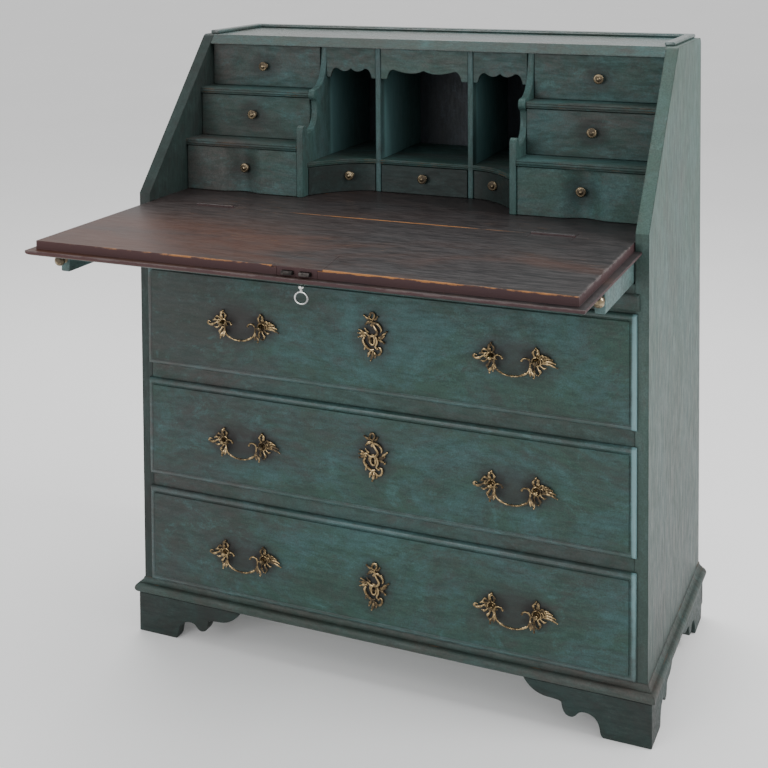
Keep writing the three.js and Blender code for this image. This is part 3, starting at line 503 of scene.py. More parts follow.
def make_floor():
    s = Shader("floor")
    tone = s.ramp(s.noise(1.3, 3), 0.3, 0.7)
    s.set(Base_Color=s.mix(tone, (0.90, 0.90, 0.90), (0.93, 0.93, 0.93)), Roughness=0.7)
    s.set(Emission_Color=(1, 1, 1), Emission_Strength=FLOOR_GLOW)
    bpy.ops.mesh.primitive_plane_add(size=60, location=(0, 0, 0))
    floor = bpy.context.object
    floor.name = "floor"
    floor.data.materials.append(s.material)
    world = bpy.data.worlds.new("world")
    scene.world = world
    world.use_nodes = True
    background = world.node_tree.nodes["Background"]
    background.inputs[0].default_value = (1, 1, 1, 1)
    background.inputs[1].default_value = WORLD_LIGHT


make_floor()


# ---- Mesh building ----
def curve_points(kind, points, steps):
    """Points along a quadratic or cubic Bezier curve, without its first point."""
    found = []
    for k in range(1, steps + 1):
        t = k / steps
        u = 1 - t
        if kind == "quad":
            weights = (u * u, 2 * u * t, t * t)
        else:
            weights = (u ** 3, 3 * u * u * t, 3 * u * t * t, t ** 3)
        found.append(tuple(sum(w * p[axis] for w, p in zip(weights, points)) for axis in (0, 1)))
    return found


def arc(centre, radius, start, end, steps):
    """Points on an arc, both ends included, with angles in degrees."""
    angles = [math.radians(start + (end - start) * k / steps) for k in range(steps + 1)]
    return [(centre[0] + radius * math.cos(a), centre[1] + radius * math.sin(a)) for a in angles]


def smooth_path(points, steps=6):
    """Catmull-Rom curve through tuples of any length."""
    ends = [points[0]] + list(points) + [points[-1]]
    found = []
    for k in range(1, len(ends) - 2):
        p0, p1, p2, p3 = ends[k - 1 : k + 3]
        for step in range(steps):
            t = step / steps
            found.append(tuple(
                0.5 * (2 * b + (c - a) * t + (2 * a - 5 * b + 4 * c - d) * t * t
                       + (3 * b - a - 3 * c + d) * t ** 3)
                for a, b, c, d in zip(p0, p1, p2, p3)
            ))
    found.append(tuple(points[-1]))
    return found


def add_loops(mesh, loops, skip=(), second=()):
    """Skins equal loops of vectors one after another and caps both ends.

    skip names the sides left open, and second the bands that take the second material."""
    rings = [[mesh.verts.new(p) for p in loop] for loop in loops]
    count = len(rings[0])
    for band, (low, high) in enumerate(zip(rings, rings[1:])):
        for k in range(count):
            if k in skip:
                continue
            face = mesh.faces.new((low[k], low[(k + 1) % count], high[(k + 1) % count], high[k]))
            face.material_index = 1 if band in second else 0
    mesh.faces.new(rings[0][::-1])
    mesh.faces.new(rings[-1])


PLACE = {
    "x": lambda u, v, w: pt(w, u, v),
    "y": lambda u, v, w: pt(u, w, v),
    "z": lambda u, v, w: pt(u, v, w),
}


def prism(outline, axis, low, high):
    """A closed outline, in (y, z), (x, z) or (x, y), extruded along an axis."""
    mesh = bmesh.new()
    add_loops(mesh, [[PLACE[axis](u, v, w) for u, v in outline] for w in (low, high)])
    return mesh


def cuboid(x0, x1, y0, y1, z0, z1):
    return prism([(x0, y0), (x1, y0), (x1, y1), (x0, y1)], "z", z0, z1)


def join(*meshes):
    """One bmesh from several, which stay separate shells inside it."""
    whole = meshes[0]
    for other in meshes[1:]:
        data = bpy.data.meshes.new("part")
        other.to_mesh(data)
        other.free()
        whole.from_mesh(data)
        bpy.data.meshes.remove(data)
    return whole


def tube(path, radii, sides=10, flat=1.0, facing=Vector((0, 1, 0))):
    """A round or flattened bar along a path of metre vectors. facing is the thin direction."""
    mesh = bmesh.new()
    count = len(path)
    loops = []
    for k, point in enumerate(path):
        along = (path[min(k + 1, count - 1)] - path[max(k - 1, 0)]).normalized()
        side = along.cross(facing)
        side = side.normalized() if side.length > 1e-6 else along.orthogonal().normalized()
        thin = side.cross(along).normalized()
        loop = []
        for j in range(sides):
            a = 2 * math.pi * j / sides
            loop.append(point + radii[k] * (math.cos(a) * side + flat * math.sin(a) * thin))
        loops.append(loop)
    add_loops(mesh, loops)
    return mesh


def turned(profile, origin, axis, steps=32):
    """A turned piece from (radius, distance) pairs in mm that start and end on the axis."""
    mesh = bmesh.new()
    axis = Vector(axis).normalized()
    u = axis.orthogonal().normalized()
    w = axis.cross(u)
    loops = []
    for radius, distance in profile:
        centre = origin + axis * distance * MM
        ring = []
        for k in range(steps):
            a = 2 * math.pi * k / steps
            ring.append(centre + max(radius, 0.02) * MM * (math.cos(a) * u + math.sin(a) * w))
        loops.append(ring)
    add_loops(mesh, loops)
    return mesh


def ball(centre, radius):
    mesh = bmesh.new()
    grow = Matrix.Translation(centre) @ Matrix.Diagonal((radius, radius, radius, 1))
    bmesh.ops.create_uvsphere(mesh, u_segments=14, v_segments=9, radius=1, matrix=grow)
    return mesh


def piece(name, mesh, body, material, replaces=(), bevel=None, segments=2, second=None):
    """Turns a bmesh into a finished piece that rides on a CAD body."""
    bmesh.ops.remove_doubles(mesh, verts=mesh.verts, dist=1e-6)
    bmesh.ops.recalc_face_normals(mesh, faces=mesh.faces)
    data = bpy.data.meshes.new(name)
    mesh.to_mesh(data)
    mesh.free()
    data.materials.append(material)
    if second:
        data.materials.append(second)
    data.shade_smooth()
    obj = bpy.data.objects.new(name, data)
    scene.collection.objects.link(obj)
    if bevel:
        add_bevel(obj, bevel, segments)
    else:
        data.set_sharp_from_angle(angle=math.radians(40))
    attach(obj, body)
    if replaces:
        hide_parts(*replaces)
    return obj


def add_bevel(obj, width, segments=2, limit=32):
    modifier = obj.modifiers.new("rounded_arrises", "BEVEL")
    modifier.width = width * MM
    modifier.segments = segments
    modifier.limit_method = "ANGLE"
    modifier.angle_limit = math.radians(limit)
    modifier.harden_normals = True
    modifier.use_clamp_overlap = True


def dress(name, material, bevel=1.2, limit=32):
    """Keeps a CAD node and gives it rounded arrises and a finished material."""
    obj = nodes[name]
    weld = obj.modifiers.new("weld", "WELD")
    weld.merge_threshold = 1e-5
    add_bevel(obj, bevel, 2, limit)
    obj.data.materials.clear()
    obj.data.materials.append(material)
    obj.data.shade_smooth()
    flatten = obj.modifiers.new("flat_faces", "WEIGHTED_NORMAL")
    flatten.weight = 100


# ---- Case ----
dress("side_left", case_left, 2.2)
dress("side_right", case_lit_side, 2.2)
dress("top_board", top_x, 1.2)
dress("top_rim", top_x, 2.2)
dress("back_panel", dark_back, 1.0)
dress("rail_strip", case_x, 0.8)
for board in ("bottom_board", "rail_lower", "rail_upper", "loper_rail", "bed_frame"):
    dress(board, case_x, 1.0)
dress("desk_bed", fall_finish, 1.0)
for board in ("dust_board_lower", "dust_board_upper", "loper_board"):
    dress(board, old_wood_x, 0.8)


def moulding_profile():
    """(out, z) from the bottom up: underside, torus nose, quirk, cavetto."""
    nose = arc((5.2, 79), 8.8, -90, 82, 15)
    hollow = curve_points("cubic", [(7.4, 88.4), (4.6, 89.2), (1.8, 92.5), (1.3, 96)], 9)
    return [(2.5, MOULDING_BOTTOM)] + nose + [(7.4, 88.4)] + hollow + [(0.2, MOULDING_TOP)]


def base_moulding():
    mesh = bmesh.new()
    loops = []
    corners = ((-HALF, DEPTH, -1, 0), (-HALF, 0, -1, -1), (HALF, 0, 1, -1), (HALF, DEPTH, 1, 0))
    for x, y, sx, sy in corners:
        outer = [pt(x + sx * out, y + sy * out, z) for out, z in moulding_profile()]
        inner = [pt(x, y, MOULDING_TOP), pt(x, y, MOULDING_BOTTOM)]
        loops.append(outer + inner)
    add_loops(mesh, loops)
    return mesh


piece("base_moulding_run", base_moulding(), "carcass", moulding_x, ["base_moulding"])


FRONT_REACH = 206
SIDE_REACH = 176
REAR_HEEL = 18


def bracket(length, heel=0.0):
    """Scrolled bracket outline: (distance from the corner, z), from the top corner round."""
    stretch = length / FRONT_REACH
    runs = [
        ((76, 0), (80, 3), (81, 12), 5),
        ((81, 12), (84, 33), (104, 34), 9),
        ((104, 34), (113, 34), (117, 28), 5),
        ((117, 28), (124, 19), (134, 24), 7),
        ((134, 24), (141, 29), (142, 43), 6),
        ((142, 43), (147, 46), (165, 46), 6),
        ((165, 46), (190, 48), (204, FOOT_TOP), 8),
    ]
    points = [(0, FOOT_TOP), (heel, 0), (76, 0)]
    for start, control, end, steps in runs:
        points += curve_points("quad", [start, control, end], steps)
    return [(0 if u == 0 else heel, z) if u <= heel else (u * stretch, z) for u, z in points]


def mitred_leg(outline, place):
    """One half of a foot, left open at its mitre. place turns (along, inwards, z) into a point."""
    mesh = bmesh.new()
    outer = [place(u, 0, z) for u, z in outline]
    inner = [place(max(u, FOOT_THICK), FOOT_THICK, z) for u, z in outline]
    add_loops(mesh, [outer, inner], skip=(0,))
    return mesh


def foot(front, sx):
    """A front foot of two mitred brackets, or a rear one of a scrolled and a plain bracket."""
    corner = sx * (HALF + FOOT_OUT)
    if front:
        across = mitred_leg(bracket(FRONT_REACH), lambda u, w, z: pt(corner - sx * u, w - FOOT_OUT, z))
        back = mitred_leg(bracket(SIDE_REACH), lambda u, w, z: pt(corner - sx * w, u - FOOT_OUT, z))
        return join(across, back)
    side = [(DEPTH - u, z) for u, z in bracket(FRONT_REACH, REAR_HEEL)]
    plain = [(corner, 22), (corner - sx * 110, 22), (corner - sx * 150, FOOT_TOP), (corner, FOOT_TOP)]
    outer, inner = sorted((corner, corner - sx * FOOT_THICK))
    return join(prism(side, "x", outer, inner), prism(plain, "y", DEPTH - 14, DEPTH - 2))


for where, front in (("front", True), ("rear", False)):
    for name, sx in SIDES:
        piece(f"bracket_foot_{where}_{name}", foot(front, sx), "carcass", foot_x,
              [f"foot_{where}_{name}"], bevel=2.0, segments=3)


# ---- Interior ----
def stepped_outline():
    """A stepped divider in (y, z), with its two round noses."""
    low, high, nose = (138, 896), (188, 956), 10
    points = [(BACK_INNER, BED), (BACK_INNER, CEILING), (238, CEILING)]
    points += curve_points("cubic", [(238, CEILING), (236, 985), (214, 966), (188, 966)], 14)
    points += arc(high, nose, 90, 262, 10)[1:]
    points += curve_points("cubic", [points[-1], (191, 944), (190, 945), (191, 938)], 4)
    points += curve_points("cubic", [(191, 938), (196, 905), (174, 890), (150, 891)], 14)
    points += arc(low, nose, 28, 180, 10)
    points += [(128, BED)]
    return points


for name, side in SIDES:
    x0, x1 = sorted((side * STEPPED_INNER, side * STEPPED_OUTER))
    board = prism(stepped_outline(), "x", x0, x1)
    piece(f"stepped_side_{name}", board, "carcass", inner_z,
          [f"stepped_divider_{name}"], bevel=1.8, segments=3)
    dress(f"pigeonhole_divider_{name}", inner_z, 1.8)

SWEEP_BACK = 233
SWEEP_REACH = 84


def sweep_y(x):
    """Front of the row under the pigeonholes, which curves forward to meet the stacks."""
    return SWEEP_BACK - SWEEP_REACH * ((x - PIGEON_OUTER) / (STEPPED_INNER - PIGEON_OUTER)) ** 2


def sweep_points(x0, x1, offset, steps=24):
    across = [x0 + (x1 - x0) * k / steps for k in range(steps + 1)]
    return [(x, sweep_y(x) + offset) for x in across]


HOLLOW = 12
HOLLOW_X = 316
HOLLOW_HALF = 42


def hollow_points(x0, x1, y):
    """The front of a lowest drawer: straight, with one shallow hollow in the middle."""
    points = [(x0, y)]
    for k in range(25):
        t = (k - 12) / 12
        points.append((HOLLOW_X + t * HOLLOW_HALF, y + HOLLOW * math.cos(t * math.pi / 2) ** 2))
    return points + [(x1, y)]


def mirror(points, side):
    return points if side > 0 else [(-x, y) for x, y in points][::-1]


def nosed_shelf(front, back, z0, z1, side):
    """A shelf whose front edge has a bead between two quirks."""
    rise = z1 - z0
    profile = [(2.2, 0), (0.6, 0.4), (0, 1.5), (0, 0.24 * rise), (1.3, 0.27 * rise), (1.3, 0.30 * rise)]
    profile += [(0.3, 0.34 * rise), (-0.3, 0.5 * rise), (0.3, 0.66 * rise), (1.3, 0.70 * rise)]
    profile += [(1.3, 0.73 * rise), (0, 0.76 * rise), (0, rise - 1.5), (0.6, rise - 0.4), (2.2, rise)]
    mesh = bmesh.new()
    loops = []
    for x, y in mirror(front, side):
        nose = [pt(x, y + inset, z0 + z) for inset, z in profile]
        loops.append(nose + [pt(x, back, z1), pt(x, back, z0)])
    add_loops(mesh, loops)
    return mesh


for level, z0, z1, y in SHELVES:
    for name, side in SIDES:
        board = nosed_shelf([(STEPPED_OUTER, y), (INSIDE, y)], BACK_INNER, z0, z1, side)
        piece(f"shelf_{level}_{name}", board, "carcass", inner_x,
              [f"stack_shelf_{level}_{name}"])

floor_front = sweep_points(PIGEON_OUTER, STEPPED_INNER, -1)
floor_front = mirror(floor_front, -1) + floor_front
board = nosed_shelf(floor_front, BACK_INNER, *PIGEON_FLOOR, 1)
piece("pigeonhole_shelf", board, "carcass", inner_x, ["pigeonhole_floor"])


def valance_outline(x0, x1, ear, lobe):
    """A valance in (x, z): a flat ear at each end and, lobe mm from the middle, two drawn-down lobes."""
    low, peak = 984, 1001
    middle = (x0 + x1) / 2
    left = [(x0, low), (x0 + ear, low)]
    left += curve_points("quad", [(x0 + ear, low), (x0 + ear + 4, peak + 2), (x0 + ear + 14, peak)], 8)
    left += curve_points("quad", [left[-1], (middle - lobe, 990), (middle, peak)], 10)
    right = [(2 * middle - x, z) for x, z in left][::-1][1:]
    return left + right + [(x1, CEILING), (x0, CEILING)]


VALANCES = (
    ("left", -STEPPED_INNER, -PIGEON_OUTER, 8, 12, inner_x),
    ("centre", -PIGEON_HALF, PIGEON_HALF, 12, 22, inner_lit),
    ("right", PIGEON_OUTER, STEPPED_INNER, 8, 12, inner_x),
)
for name, x0, x1, ear, lobe, finish in VALANCES:
    board = prism(valance_outline(x0, x1, ear, lobe), "y", *VALANCE_DEPTHS)
    piece(f"scalloped_valance_{name}", board, "carcass", finish, [f"valance_{name}"],
          bevel=0.9)


# ---- Small drawers ----
KNOB_PROFILE = [
    (0, -1), (6.2, -1), (6.2, 0.4), (5.4, 1.4), (3.4, 2.0), (2.9, 3.2), (2.9, 5.2), (4.2, 6.6),
    (7.4, 7.6), (8.5, 8.6), (8.5, 9.7), (7.7, 10.6), (6.5, 10.8), (5.6, 10.2), (4.4, 10.4), (3.6, 11.6),
    (2.4, 12.8), (1.2, 13.3), (0, 13.4),
]


def knob(name, body, x, y, z):
    piece(name, turned(KNOB_PROFILE, pt(x, y, z), (0, -1, 0)), body, knob_brass)


def drawer_box(front, back, z0, z1, wall, thick):
    """Sides, back and bottom of a drawer behind the plan line of its front, which is thick mm deep."""
    (x0, _), (x1, _) = front[0], front[-1]

    def front_y(x):
        for (xa, ya), (xb, yb) in zip(front, front[1:]):
            if xa <= x <= xb:
                return ya + (yb - ya) * (x - xa) / (xb - xa)
        return front[-1][1]

    walls = []
    for a, b in ((x0, x0 + wall), (x1 - wall, x1)):
        slope = abs(front_y(a) - front_y(b))
        start = max(front_y(a), front_y(b)) + max(2.5, thick - 1 - slope)
        walls.append(cuboid(a, b, start, back, z0, z1))
    walls.append(cuboid(x0 + wall, x1 - wall, back - wall, back, z0, z1))
    inside = [(x, y) for x, y in front if x0 + wall < x < x1 - wall]
    line = [(x0 + wall, front_y(x0 + wall))] + inside + [(x1 - wall, front_y(x1 - wall))]
    bottom = [(x, y + thick - 1) for x, y in line] + [(x1 - wall, back - wall), (x0 + wall, back - wall)]
    walls.append(prism(bottom, "z", z0 + 1, z0 + 7))
    return join(*walls)


SMALL_FRONT = 9
SMALL_WALL = 5


def small_drawer(node, body, front, z0, z1, knob_at, material):
    """front is the plan of the front face; the board behind it follows it at full thickness."""
    back_edge = [(x, y + SMALL_FRONT) for x, y in front][::-1]
    board = prism(front + back_edge, "z", z0, z1)
    piece(f"{node}_front", board, body, material, [node], bevel=0.9)
    inset = [(front[0][0] + 0.5, front[0][1])] + front[1:-1] + [(front[-1][0] - 0.5, front[-1][1])]
    box = drawer_box(inset, BACK_INNER - 8, z0 + 1, z1 - 3, SMALL_WALL, SMALL_FRONT)
    piece(f"{node}_box", box, body, old_wood, bevel=0.6)
    knob(f"{node}_knob", body, *knob_at)


for name, side in SIDES:
    for tier, z0, z1, y, knob_x, knob_z in STACK_TIERS:
        x0, x1 = STEPPED_OUTER + 1, INSIDE - 1
        hollowed = tier == "bottom"
        front = hollow_points(x0, x1, y) if hollowed else [(x0, y), (x1, y)]
        knob_y = y + HOLLOW if hollowed else y
        small_drawer(f"drawer_{tier}_{name}", f"{tier}_{name}_small_drawer", mirror(front, side),
                     z0 + 0.5, z1 - 1, (side * knob_x, knob_y, knob_z), inner_lit if hollowed else inner_x)
    front = mirror(sweep_points(PIGEON_OUTER + 1, STEPPED_INNER - 1, 0), side)
    knob_at = (side * ROW_KNOB_X, sweep_y(ROW_KNOB_X) + 1, ROW_KNOB_Z)
    small_drawer(f"drawer_row_{name}", f"row_{name}_small_drawer", front, BED + 0.5, ROW_TOP, knob_at,
                 inner_row)
front = [(1 - PIGEON_HALF, ROW_FRONT), (PIGEON_HALF - 1, ROW_FRONT)]
small_drawer("drawer_row_centre", "row_centre_small_drawer", front, BED + 0.5, ROW_TOP,
             (0, ROW_FRONT, ROW_KNOB_Z), inner_row)


# ---- Long drawers ----
# Section of a drawer's edge, as (y, inset from the edge): bead, quirk, then the proud field.
FRONT_LEVELS = (
    (-0.2, 0.3), (-0.6, 0.0), (-2.2, 0.0), (-3.2, 0.15), (-4.4, 0.6), (-5.6, 1.4), (-6.6, 2.5),
    (-7.4, 3.9), (-7.9, 5.3), (-8.1, 6.7), (-7.9, 7.6), (-7.1, 8.2), (-6.9, 8.6), (-6.9, 10.2),
    (-7.2, 10.6), (-9.2, 11.0), (-9.8, 11.5), (-10.0, 12.4),
)
# The bands of that section painted as the bead.
BEAD_BANDS = range(2, 12)
LONG_FRONT = 14
LONG_WALL = 11


def drawer_front(bottom, top):
    """A front with a rounded bead at its edge, a quirk, and a proud field."""
    mesh = bmesh.new()
    loops = []
    edge = INSIDE + 4
    for y, inset in FRONT_LEVELS:
        x, z0, z1 = edge - inset, bottom + inset, top - inset
        loops.append([pt(-x, y, z0), pt(x, y, z0), pt(x, y, z1), pt(-x, y, z1)])
    add_loops(mesh, loops, second=BEAD_BANDS)
    return join(mesh, cuboid(-BOX_HALF, BOX_HALF, -1, LONG_FRONT, bottom + 4.5, top - 5))


def oval(u, v, across, tall, w):
    """Twelve points round a centre, and the first of them again."""
    angles = [math.radians(30 * k) for k in range(12)]
    ring = [(u + across * math.cos(a), v + tall * math.sin(a), w) for a in angles]
    return ring + ring[:1]


def shaped(place, points, steps, width, sides, flat=1.0):
    """A bar through (u, v, w) points. width gives its radius in mm at t, from 0 to 1."""
    path = [place(*p) for p in smooth_path(points, steps)]
    count = len(path) - 1
    radii = [width(k / count) * MM for k in range(count + 1)]
    return tube(path, radii, sides, flat)


def scroll(place, points, thick, thin=None):
    """A tapered bar in relief."""
    thin = thick * 0.55 if thin is None else thin

    def width(t):
        return thin + (thick - thin) * math.sin(math.pi * min(1, 0.25 + 0.75 * t))

    return shaped(place, points, 5, width, 9, 0.75)


def leaf(place, points, size, lobes):
    """A small leaf: a flattened bar that swells in lobes and ends in a tip."""
    def width(t):
        body = math.sin(math.pi * (0.12 + 0.80 * t)) ** 0.8
        lobe = 1 + 0.22 * math.sin(2 * math.pi * lobes * t + 0.7)
        return max(size * body * lobe, 0.28)

    return shaped(place, points, 6, width, 10, 0.42)


def bead(place, u, v, w, radius):
    return ball(place(u, v, w), radius * MM)


# Radius and distance off the drawer of the post that holds the bail.
POST_PROFILE = [
    (0, -1), (4.6, -1), (4.6, 2), (3.4, 3.4), (2.9, 5), (3.2, 6.2), (4.3, 7.4), (4.7, 9), (4.3, 10.8),
    (3, 12.4), (1.4, 13.2), (0, 13.4),
]
# What a back plate is made of, and what each takes after its place.
ROSETTE = (
    (scroll, oval(0, 0, 6.6, 6.6, 1.6), 1.6, 1.4),
    (leaf, [(0, 5, 1.5), (1.5, 10, 3.2), (3.2, 14.5, 3.6), (2.0, 19, 3.0), (-0.6, 21.5, 2.6)], 2.5, 3),
    (leaf, [(-1.5, 6, 1.5), (-4.6, 10.5, 2.6), (-5.0, 15.5, 3.4), (-2.4, 19.5, 4.2)], 1.8, 2),
    (leaf, [(3, 6, 1.5), (7.2, 10, 2.6), (11.2, 11.0, 3.2), (13.8, 8.6, 4.0)], 1.9, 2),
    (leaf, [(5, -4, 1.5), (9.4, -7.6, 2.4), (13.2, -8.6, 2.8), (16.2, -7.0, 3.6)], 1.7, 2),
    (leaf, [(1, -6, 1.5), (3.4, -11, 2.8), (6.4, -15.4, 3.2), (4.6, -19.5, 3.0)], 2.0, 2),
    (leaf, [(-2, -6, 1.5), (-4.2, -10.5, 2.6), (-3.0, -16, 3.4), (0.6, -19.0, 4.2)], 1.8, 2),
    (leaf, [(-5, -1.0, 1.5), (-7.6, -3.4, 1.9), (-10, -3.0, 2.0)], 1.5, 1),
    (scroll, [(4, 4, 1.2), (8.4, 5.2, 2), (11, 2, 2.4), (9, -2.3, 2), (5, -3, 1.4)], 1.2),
    (bead, -0.6, 22.0, 3.0, 1.9),
    (bead, -1.8, 19.6, 4.4, 1.5),
    (bead, 14.0, 8.0, 4.2, 1.4),
    (bead, 3.8, -20.2, 3.2, 1.6),
    (bead, 1.0, -19.8, 4.2, 1.3),
)
# The long leaves of a back plate that points right: tip, start and width.
FAN = (((20, 10), (6, 4), 1.5), ((26, 6.5), (9, 3), 1.8), ((31, 1), (9, 0), 2.1), ((34, -5.5), (8, -2), 1.9))


def rosette(sx, x, z):
    """One pierced rococo back plate with the post that holds the bail.

    u runs in direction sx from the post, v up and w off the drawer."""
    def place(u, v, w):
        return pt(x + sx * u, -FIELD - w, z + v)

    parts = [make(place, *sizes) for make, *sizes in ROSETTE]
    parts.append(turned(POST_PROFILE, place(0, 0, 0), (0, -1, 0), 20))
    if sx > 0:
        for tip, start, wide in FAN:
            bend = ((start[0] + tip[0]) / 2, (start[1] + tip[1]) / 2 + 2.4)
            parts.append(leaf(place, [(*start, 1.6), (*bend, 3.2), (*tip, 3.8)], wide, 3))
            parts.append(bead(place, *tip, 4.0, 1.3))
    else:
        curl = [(6, 1, 1.5), (12.5, 0, 2.8), (18.6, -3.4, 3.2), (24.6, -4.6, 3.4), (28.2, -2.4, 4.0),
                (27, 1.2, 4.4), (23.6, 1.4, 4.2)]
        parts.append(leaf(place, curl, 2.0, 3))
        parts.append(leaf(place, [(8, 3, 1.5), (14, 5, 2.8), (19, 3.4, 3.6)], 1.7, 2))
        parts.append(bead(place, 23.0, 1.2, 4.4, 1.4))
    return join(*parts)


# Each leaf on a bail's shoulder: its points and width.
BAIL_LEAVES = (
    (((28.6, -7, 1.4), (31.6, -13, 2.6), (35.4, -18, 3.4), (36.4, -23, 3.2)), 2.4),
    (((28.4, -9, 1.4), (29.4, -15, 2.8), (30.6, -20.4, 3.6)), 1.9),
    (((24, -15.6, 3.4), (19, -19, 4.2), (12.5, -21.4, 4.4)), 1.7),
)


def bail(x, z):
    """The swinging handle: pins, scrolled shoulders and a leafy, knuckled grip."""
    def place(u, v, w):
        return pt(x + u, -FIELD - PIVOT - w, z + v)

    right = [(16.2, 2.4, 1.8), (17.8, 5.4, 2.2), (22.2, 6.8, 2.2), (26.8, 5.2, 1.2), (29.2, 0.4, 0.4),
             (29.0, -6, 0.4), (27.6, -11.4, 1.2), (24.2, -16.6, 2.2), (17.4, -20.6, 2.8), (9, -23, 3.0),
             (0, -23.8, 3.0)]
    left = [(-u, v, w) for u, v, w in right[::-1]]

    def grip(t):
        out = abs(2 * t - 1)
        swell = 1.35 + 0.45 * math.exp(-((out - 0.62) / 0.2) ** 2)
        knuckles = 0.40 * max(0, math.cos(11 * math.pi * (1 - out))) ** 2 if out < 0.45 else 0
        return swell + knuckles

    parts = [shaped(place, right + left[1:], 7, grip, 12)]
    for s in (-1, 1):
        pin = [place(s * u, 0, 0) for u in (28, 31, 34, POST_X + 1)]
        parts.append(ball(place(s * 15.8, 2.2, 1.8), 2.1 * MM))
        parts.append(tube(pin, [1.6 * MM] * 4, 10, facing=Vector((0, 0, 1))))
        for leaf_points, width in BAIL_LEAVES:
            parts.append(leaf(place, [(s * u, v, w) for u, v, w in leaf_points], width, 2))
        parts.append(bead(place, s * 35.8, -22.4, 3.6, 1.7))
    parts.append(ball(place(0, -23.8, 3.0), 2.2 * MM))
    return join(*parts)


KEYHOLE_PLATE = (
    (scroll, oval(-1.2, -6, 4.6, 7.4, 2.2), 1.7, 1.5),
    (scroll, [(-5.4, 34, 2), (-3, 39, 2.8), (1.4, 39.6, 3.2), (3.6, 35.6, 3), (1.4, 31, 2.4),
              (-1, 27, 2)], 2.0),
    (leaf, [(-1, 28, 2), (-6, 30, 2.8), (-10.6, 31, 3.2), (-13.6, 34.4, 3.6)], 2.1, 2),
    (leaf, [(1, 23, 2), (-3.4, 25.4, 3), (-8.6, 23.4, 3.4), (-11.4, 20.4, 3.8)], 2.6, 2),
    (leaf, [(2, 28, 2), (6, 30, 2.8), (8.6, 34, 3.4)], 1.9, 1),
    (scroll, [(-3, 18, 2), (0.6, 22.4, 2.8), (6, 23.4, 3.4), (12, 20, 3.4), (15.4, 14, 3),
              (14, 9, 2.6)], 2.3),
    (scroll, [(-1, 22, 2), (4, 15.5, 3), (8.2, 9.4, 3.4), (6.6, 4.6, 3.2), (1, 1.8, 3),
              (-6, 1.6, 3), (-12, 5.6, 3), (-16.8, 4, 3), (-17.4, -2, 2.6)], 2.2),
    (leaf, [(9, -1, 2), (15, 2, 3), (20, 6.6, 3.4), (25, 11, 4)], 2.3, 2),
    (leaf, [(10, -1, 2), (16, -0.6, 3), (21, 3.4, 3.8)], 1.9, 1),
    (leaf, [(8, -4, 2), (13, -4.4, 3), (19.6, -6.8, 3.8)], 2.2, 2),
    (leaf, [(-13, 3, 2), (-18, 6.6, 3), (-22.8, 10, 3.8)], 2.2, 2),
    (leaf, [(-13, 2, 2), (-19.6, 3.4, 3), (-25, 4.4, 3.8)], 2.1, 2),
    (leaf, [(-12, 0.6, 2), (-18.6, -0.4, 3), (-24.4, -2, 3.6)], 2.1, 2),
    (leaf, [(-8, 6, 2), (-11.6, 10, 3), (-13.8, 14, 3.6)], 1.9, 1),
    (scroll, [(-15, -2, 2), (-17.2, -7, 3), (-14.8, -13, 3.4), (-10, -18.6, 3.4), (-3.4, -22, 3),
              (2, -20.6, 2.6)], 2.3),
    (scroll, [(2.4, 3, 2), (6.6, -2, 3), (7.4, -9, 3.2), (4.6, -16, 3), (8.6, -19.4, 3.6)], 2.0),
    (scroll, [(9, -17, 2.4), (13.6, -17.6, 3), (14.8, -22.4, 3.2), (12, -27.6, 3), (7, -29.4, 2.4),
              (2, -26, 2)], 2.0),
    (leaf, [(-2, -22, 2), (-6, -27, 3), (-8.4, -34, 3.6)], 2.3, 2),
    (leaf, [(0, -24, 2), (-1, -31, 3), (-3, -38.6, 3.6)], 2.6, 3),
    (leaf, [(2, -25, 2), (4.6, -30, 3), (3.6, -35.4, 3.4)], 2.0, 1),
    (leaf, [(-10, -16, 2), (-14, -19, 2.8), (-14.6, -23, 3.4)], 1.8, 1),
)
PLATE_BOSS = [(0, 0.2), (9, 0.2), (9.4, 0.9), (8.6, 1.5), (0, 1.5)]
# Beads at the tips of the keyhole plate's leaves: u, v, w and radius.
PLATE_BEADS = (
    (-14.2, 34.8, 3.8, 1.9), (25.4, 11.4, 4.2, 2.0), (20.8, 3.8, 4, 1.7), (20.4, -7.2, 4.2, 2.3),
    (-23.4, 10.4, 4, 1.6), (-25.4, 4.4, 4, 1.5), (-24.8, -2.2, 4, 1.6), (9.2, -18.4, 4.2, 2.4),
    (-3.4, -39, 3.8, 1.7), (9, 34.6, 3.6, 1.6), (-5.6, 33.2, 2.8, 1.8), (-12, 20, 4, 1.6),
)


def escutcheon(x, z, turn):
    """A pierced rococo keyhole plate, in (u, v) from its middle, turned a little by hand."""
    tilt = math.radians(turn)

    def place(u, v, w):
        across = u * math.cos(tilt) - v * math.sin(tilt)
        up = u * math.sin(tilt) + v * math.cos(tilt)
        return pt(x + across, -FIELD - w, z + up)

    parts = [make(place, *sizes) for make, *sizes in KEYHOLE_PLATE]
    parts.append(turned(PLATE_BOSS, place(-1, -5, 0), (0, -1, 0), 24))
    for spot in PLATE_BEADS:
        parts.append(bead(place, *spot))
    return join(*parts)


def keyhole(x, z):
    """A dark sheet of painted shade where the keyhole is: a round with a slot below it."""
    outline = arc((x - 1.2, z - 3.2), 2.5, -60, 240, 20) + [(x - 2.4, z - 11.6), (x, z - 11.6)]
    return prism(outline, "y", -FIELD - 2.0, -FIELD - 1.2)


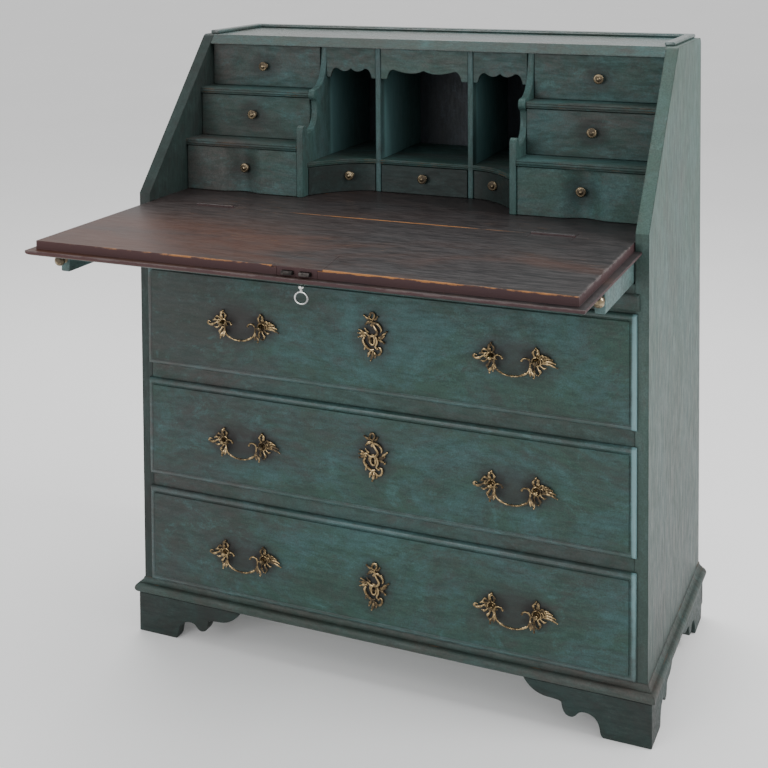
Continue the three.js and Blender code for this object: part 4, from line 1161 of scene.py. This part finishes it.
for name, size in LONG_DRAWERS.items():
    body = f"{name}_drawer"
    bottom, top = size["bottom"], size["top"]
    piece(f"{name}_drawer_front", drawer_front(bottom, top), body, drawer_material(name),
          [f"long_drawer_{name}"], second=bead_x)
    box = drawer_box([(-BOX_HALF, 0), (BOX_HALF, 0)], BACK_INNER - 15, bottom + 4.6, top - 12, LONG_WALL,
                     LONG_FRONT)
    piece(f"{name}_drawer_box", box, body, old_wood, bevel=0.8)
    for end, side in SIDES:
        for post_name, s in (("outer", side), ("inner", -side)):
            plate = rosette(s, side * HANDLE_X + s * POST_X, size["post"])
            piece(f"{name}_{end}_{post_name}_rosette", plate, body, brass)
        casting = bail(side * HANDLE_X, size["post"])
        piece(f"{name}_{end}_bail_casting", casting, f"{name}_{end}_bail", brass,
              [f"bail_{name}_{end}"])
    plate = escutcheon(PLATE_X, size["plate"], size["turn"])
    piece(f"{name}_keyhole_plate", plate, body, brass)
    # A sheet of painted shade standing in for the keyhole.
    piece(f"{name}_keyhole_shadow_sheet", keyhole(PLATE_X, size["plate"]), body, keyhole_dark)


# ---- Fall, lopers, lock and key ----
LOPER_KNOB_PROFILE = [
    (0, -1), (6.4, -1), (6.4, 0.6), (4.6, 1.8), (3.2, 3.4), (3.0, 5.4), (4.0, 6.8), (6.4, 8.2),
    (8.2, 10.4), (8.8, 12.8), (8.3, 15.2), (6.8, 17.4), (4.4, 18.9), (2.0, 19.6), (0, 19.8),
]

dress("fall_board", fall_finish, 1.6, 40)
dress("fall_lock", hardware_paint, 0.6)
dress("fall_lock_bolt", iron, 0.8)
for name, side in SIDES:
    dress(f"hinge_bed_leaf_{name}", hardware_paint, 0.4)
    dress(f"hinge_fall_leaf_{name}", hardware_paint, 0.4)
    out = LOPER_OUT[name]
    x0, x1 = sorted((side * LOPER_INNER, side * LOPER_OUTER))
    body = f"loper_{name[0]}"
    bar = cuboid(x0, x1, -out, LOPER_LENGTH - out, LOPER_BOTTOM, LOPER_TOP)
    piece(f"loper_bar_{name}", bar, body, loper_x, [f"loper_{name}"],
          bevel=2.4, segments=3)
    turned_knob = turned(LOPER_KNOB_PROFILE, pt(side * LOPER_KNOB_X, -out, LOPER_KNOB_Z), (0, -1, 0))
    piece(f"loper_{name}_knob", turned_knob, body, knob_brass)


# Radius and height of the key's turned stem.
KEY_STEM = [
    (0, 738.4), (2.0, 738.6), (2.4, 740), (2.0, 741.4), (2.0, 743), (3.6, 744.4), (4.4, 746.4),
    (4.2, 748.4), (2.8, 749.8), (2.2, 750.6), (3.2, 751.4), (3.2, 752.6), (2.4, 753.4), (2.3, 772.6),
    (0, 773),
]
BOW_Z = 731
BOW_ACROSS = 10
BOW_TALL = 8.6
BOW_POINTS = 37


def key():
    """The key in the fall's lock: an oval bow, a turned stem and a bit."""
    angles = [math.radians(10 * k) for k in range(BOW_POINTS)]
    ring = [pt(KEY_X + BOW_ACROSS * math.cos(a), KEY_Y, BOW_Z + BOW_TALL * math.sin(a)) for a in angles]
    bow = tube(ring, [1.5 * MM] * BOW_POINTS, 12)
    stem = turned(KEY_STEM, pt(KEY_X, KEY_Y, 0), (0, 0, 1), 20)
    bit = cuboid(KEY_X, KEY_X + 5, KEY_Y - 0.8, KEY_Y + 0.8, 767, 772.5)
    return join(bow, stem, bit)


piece("fall_key_forged", key(), "key", steel, ["fall_key"])
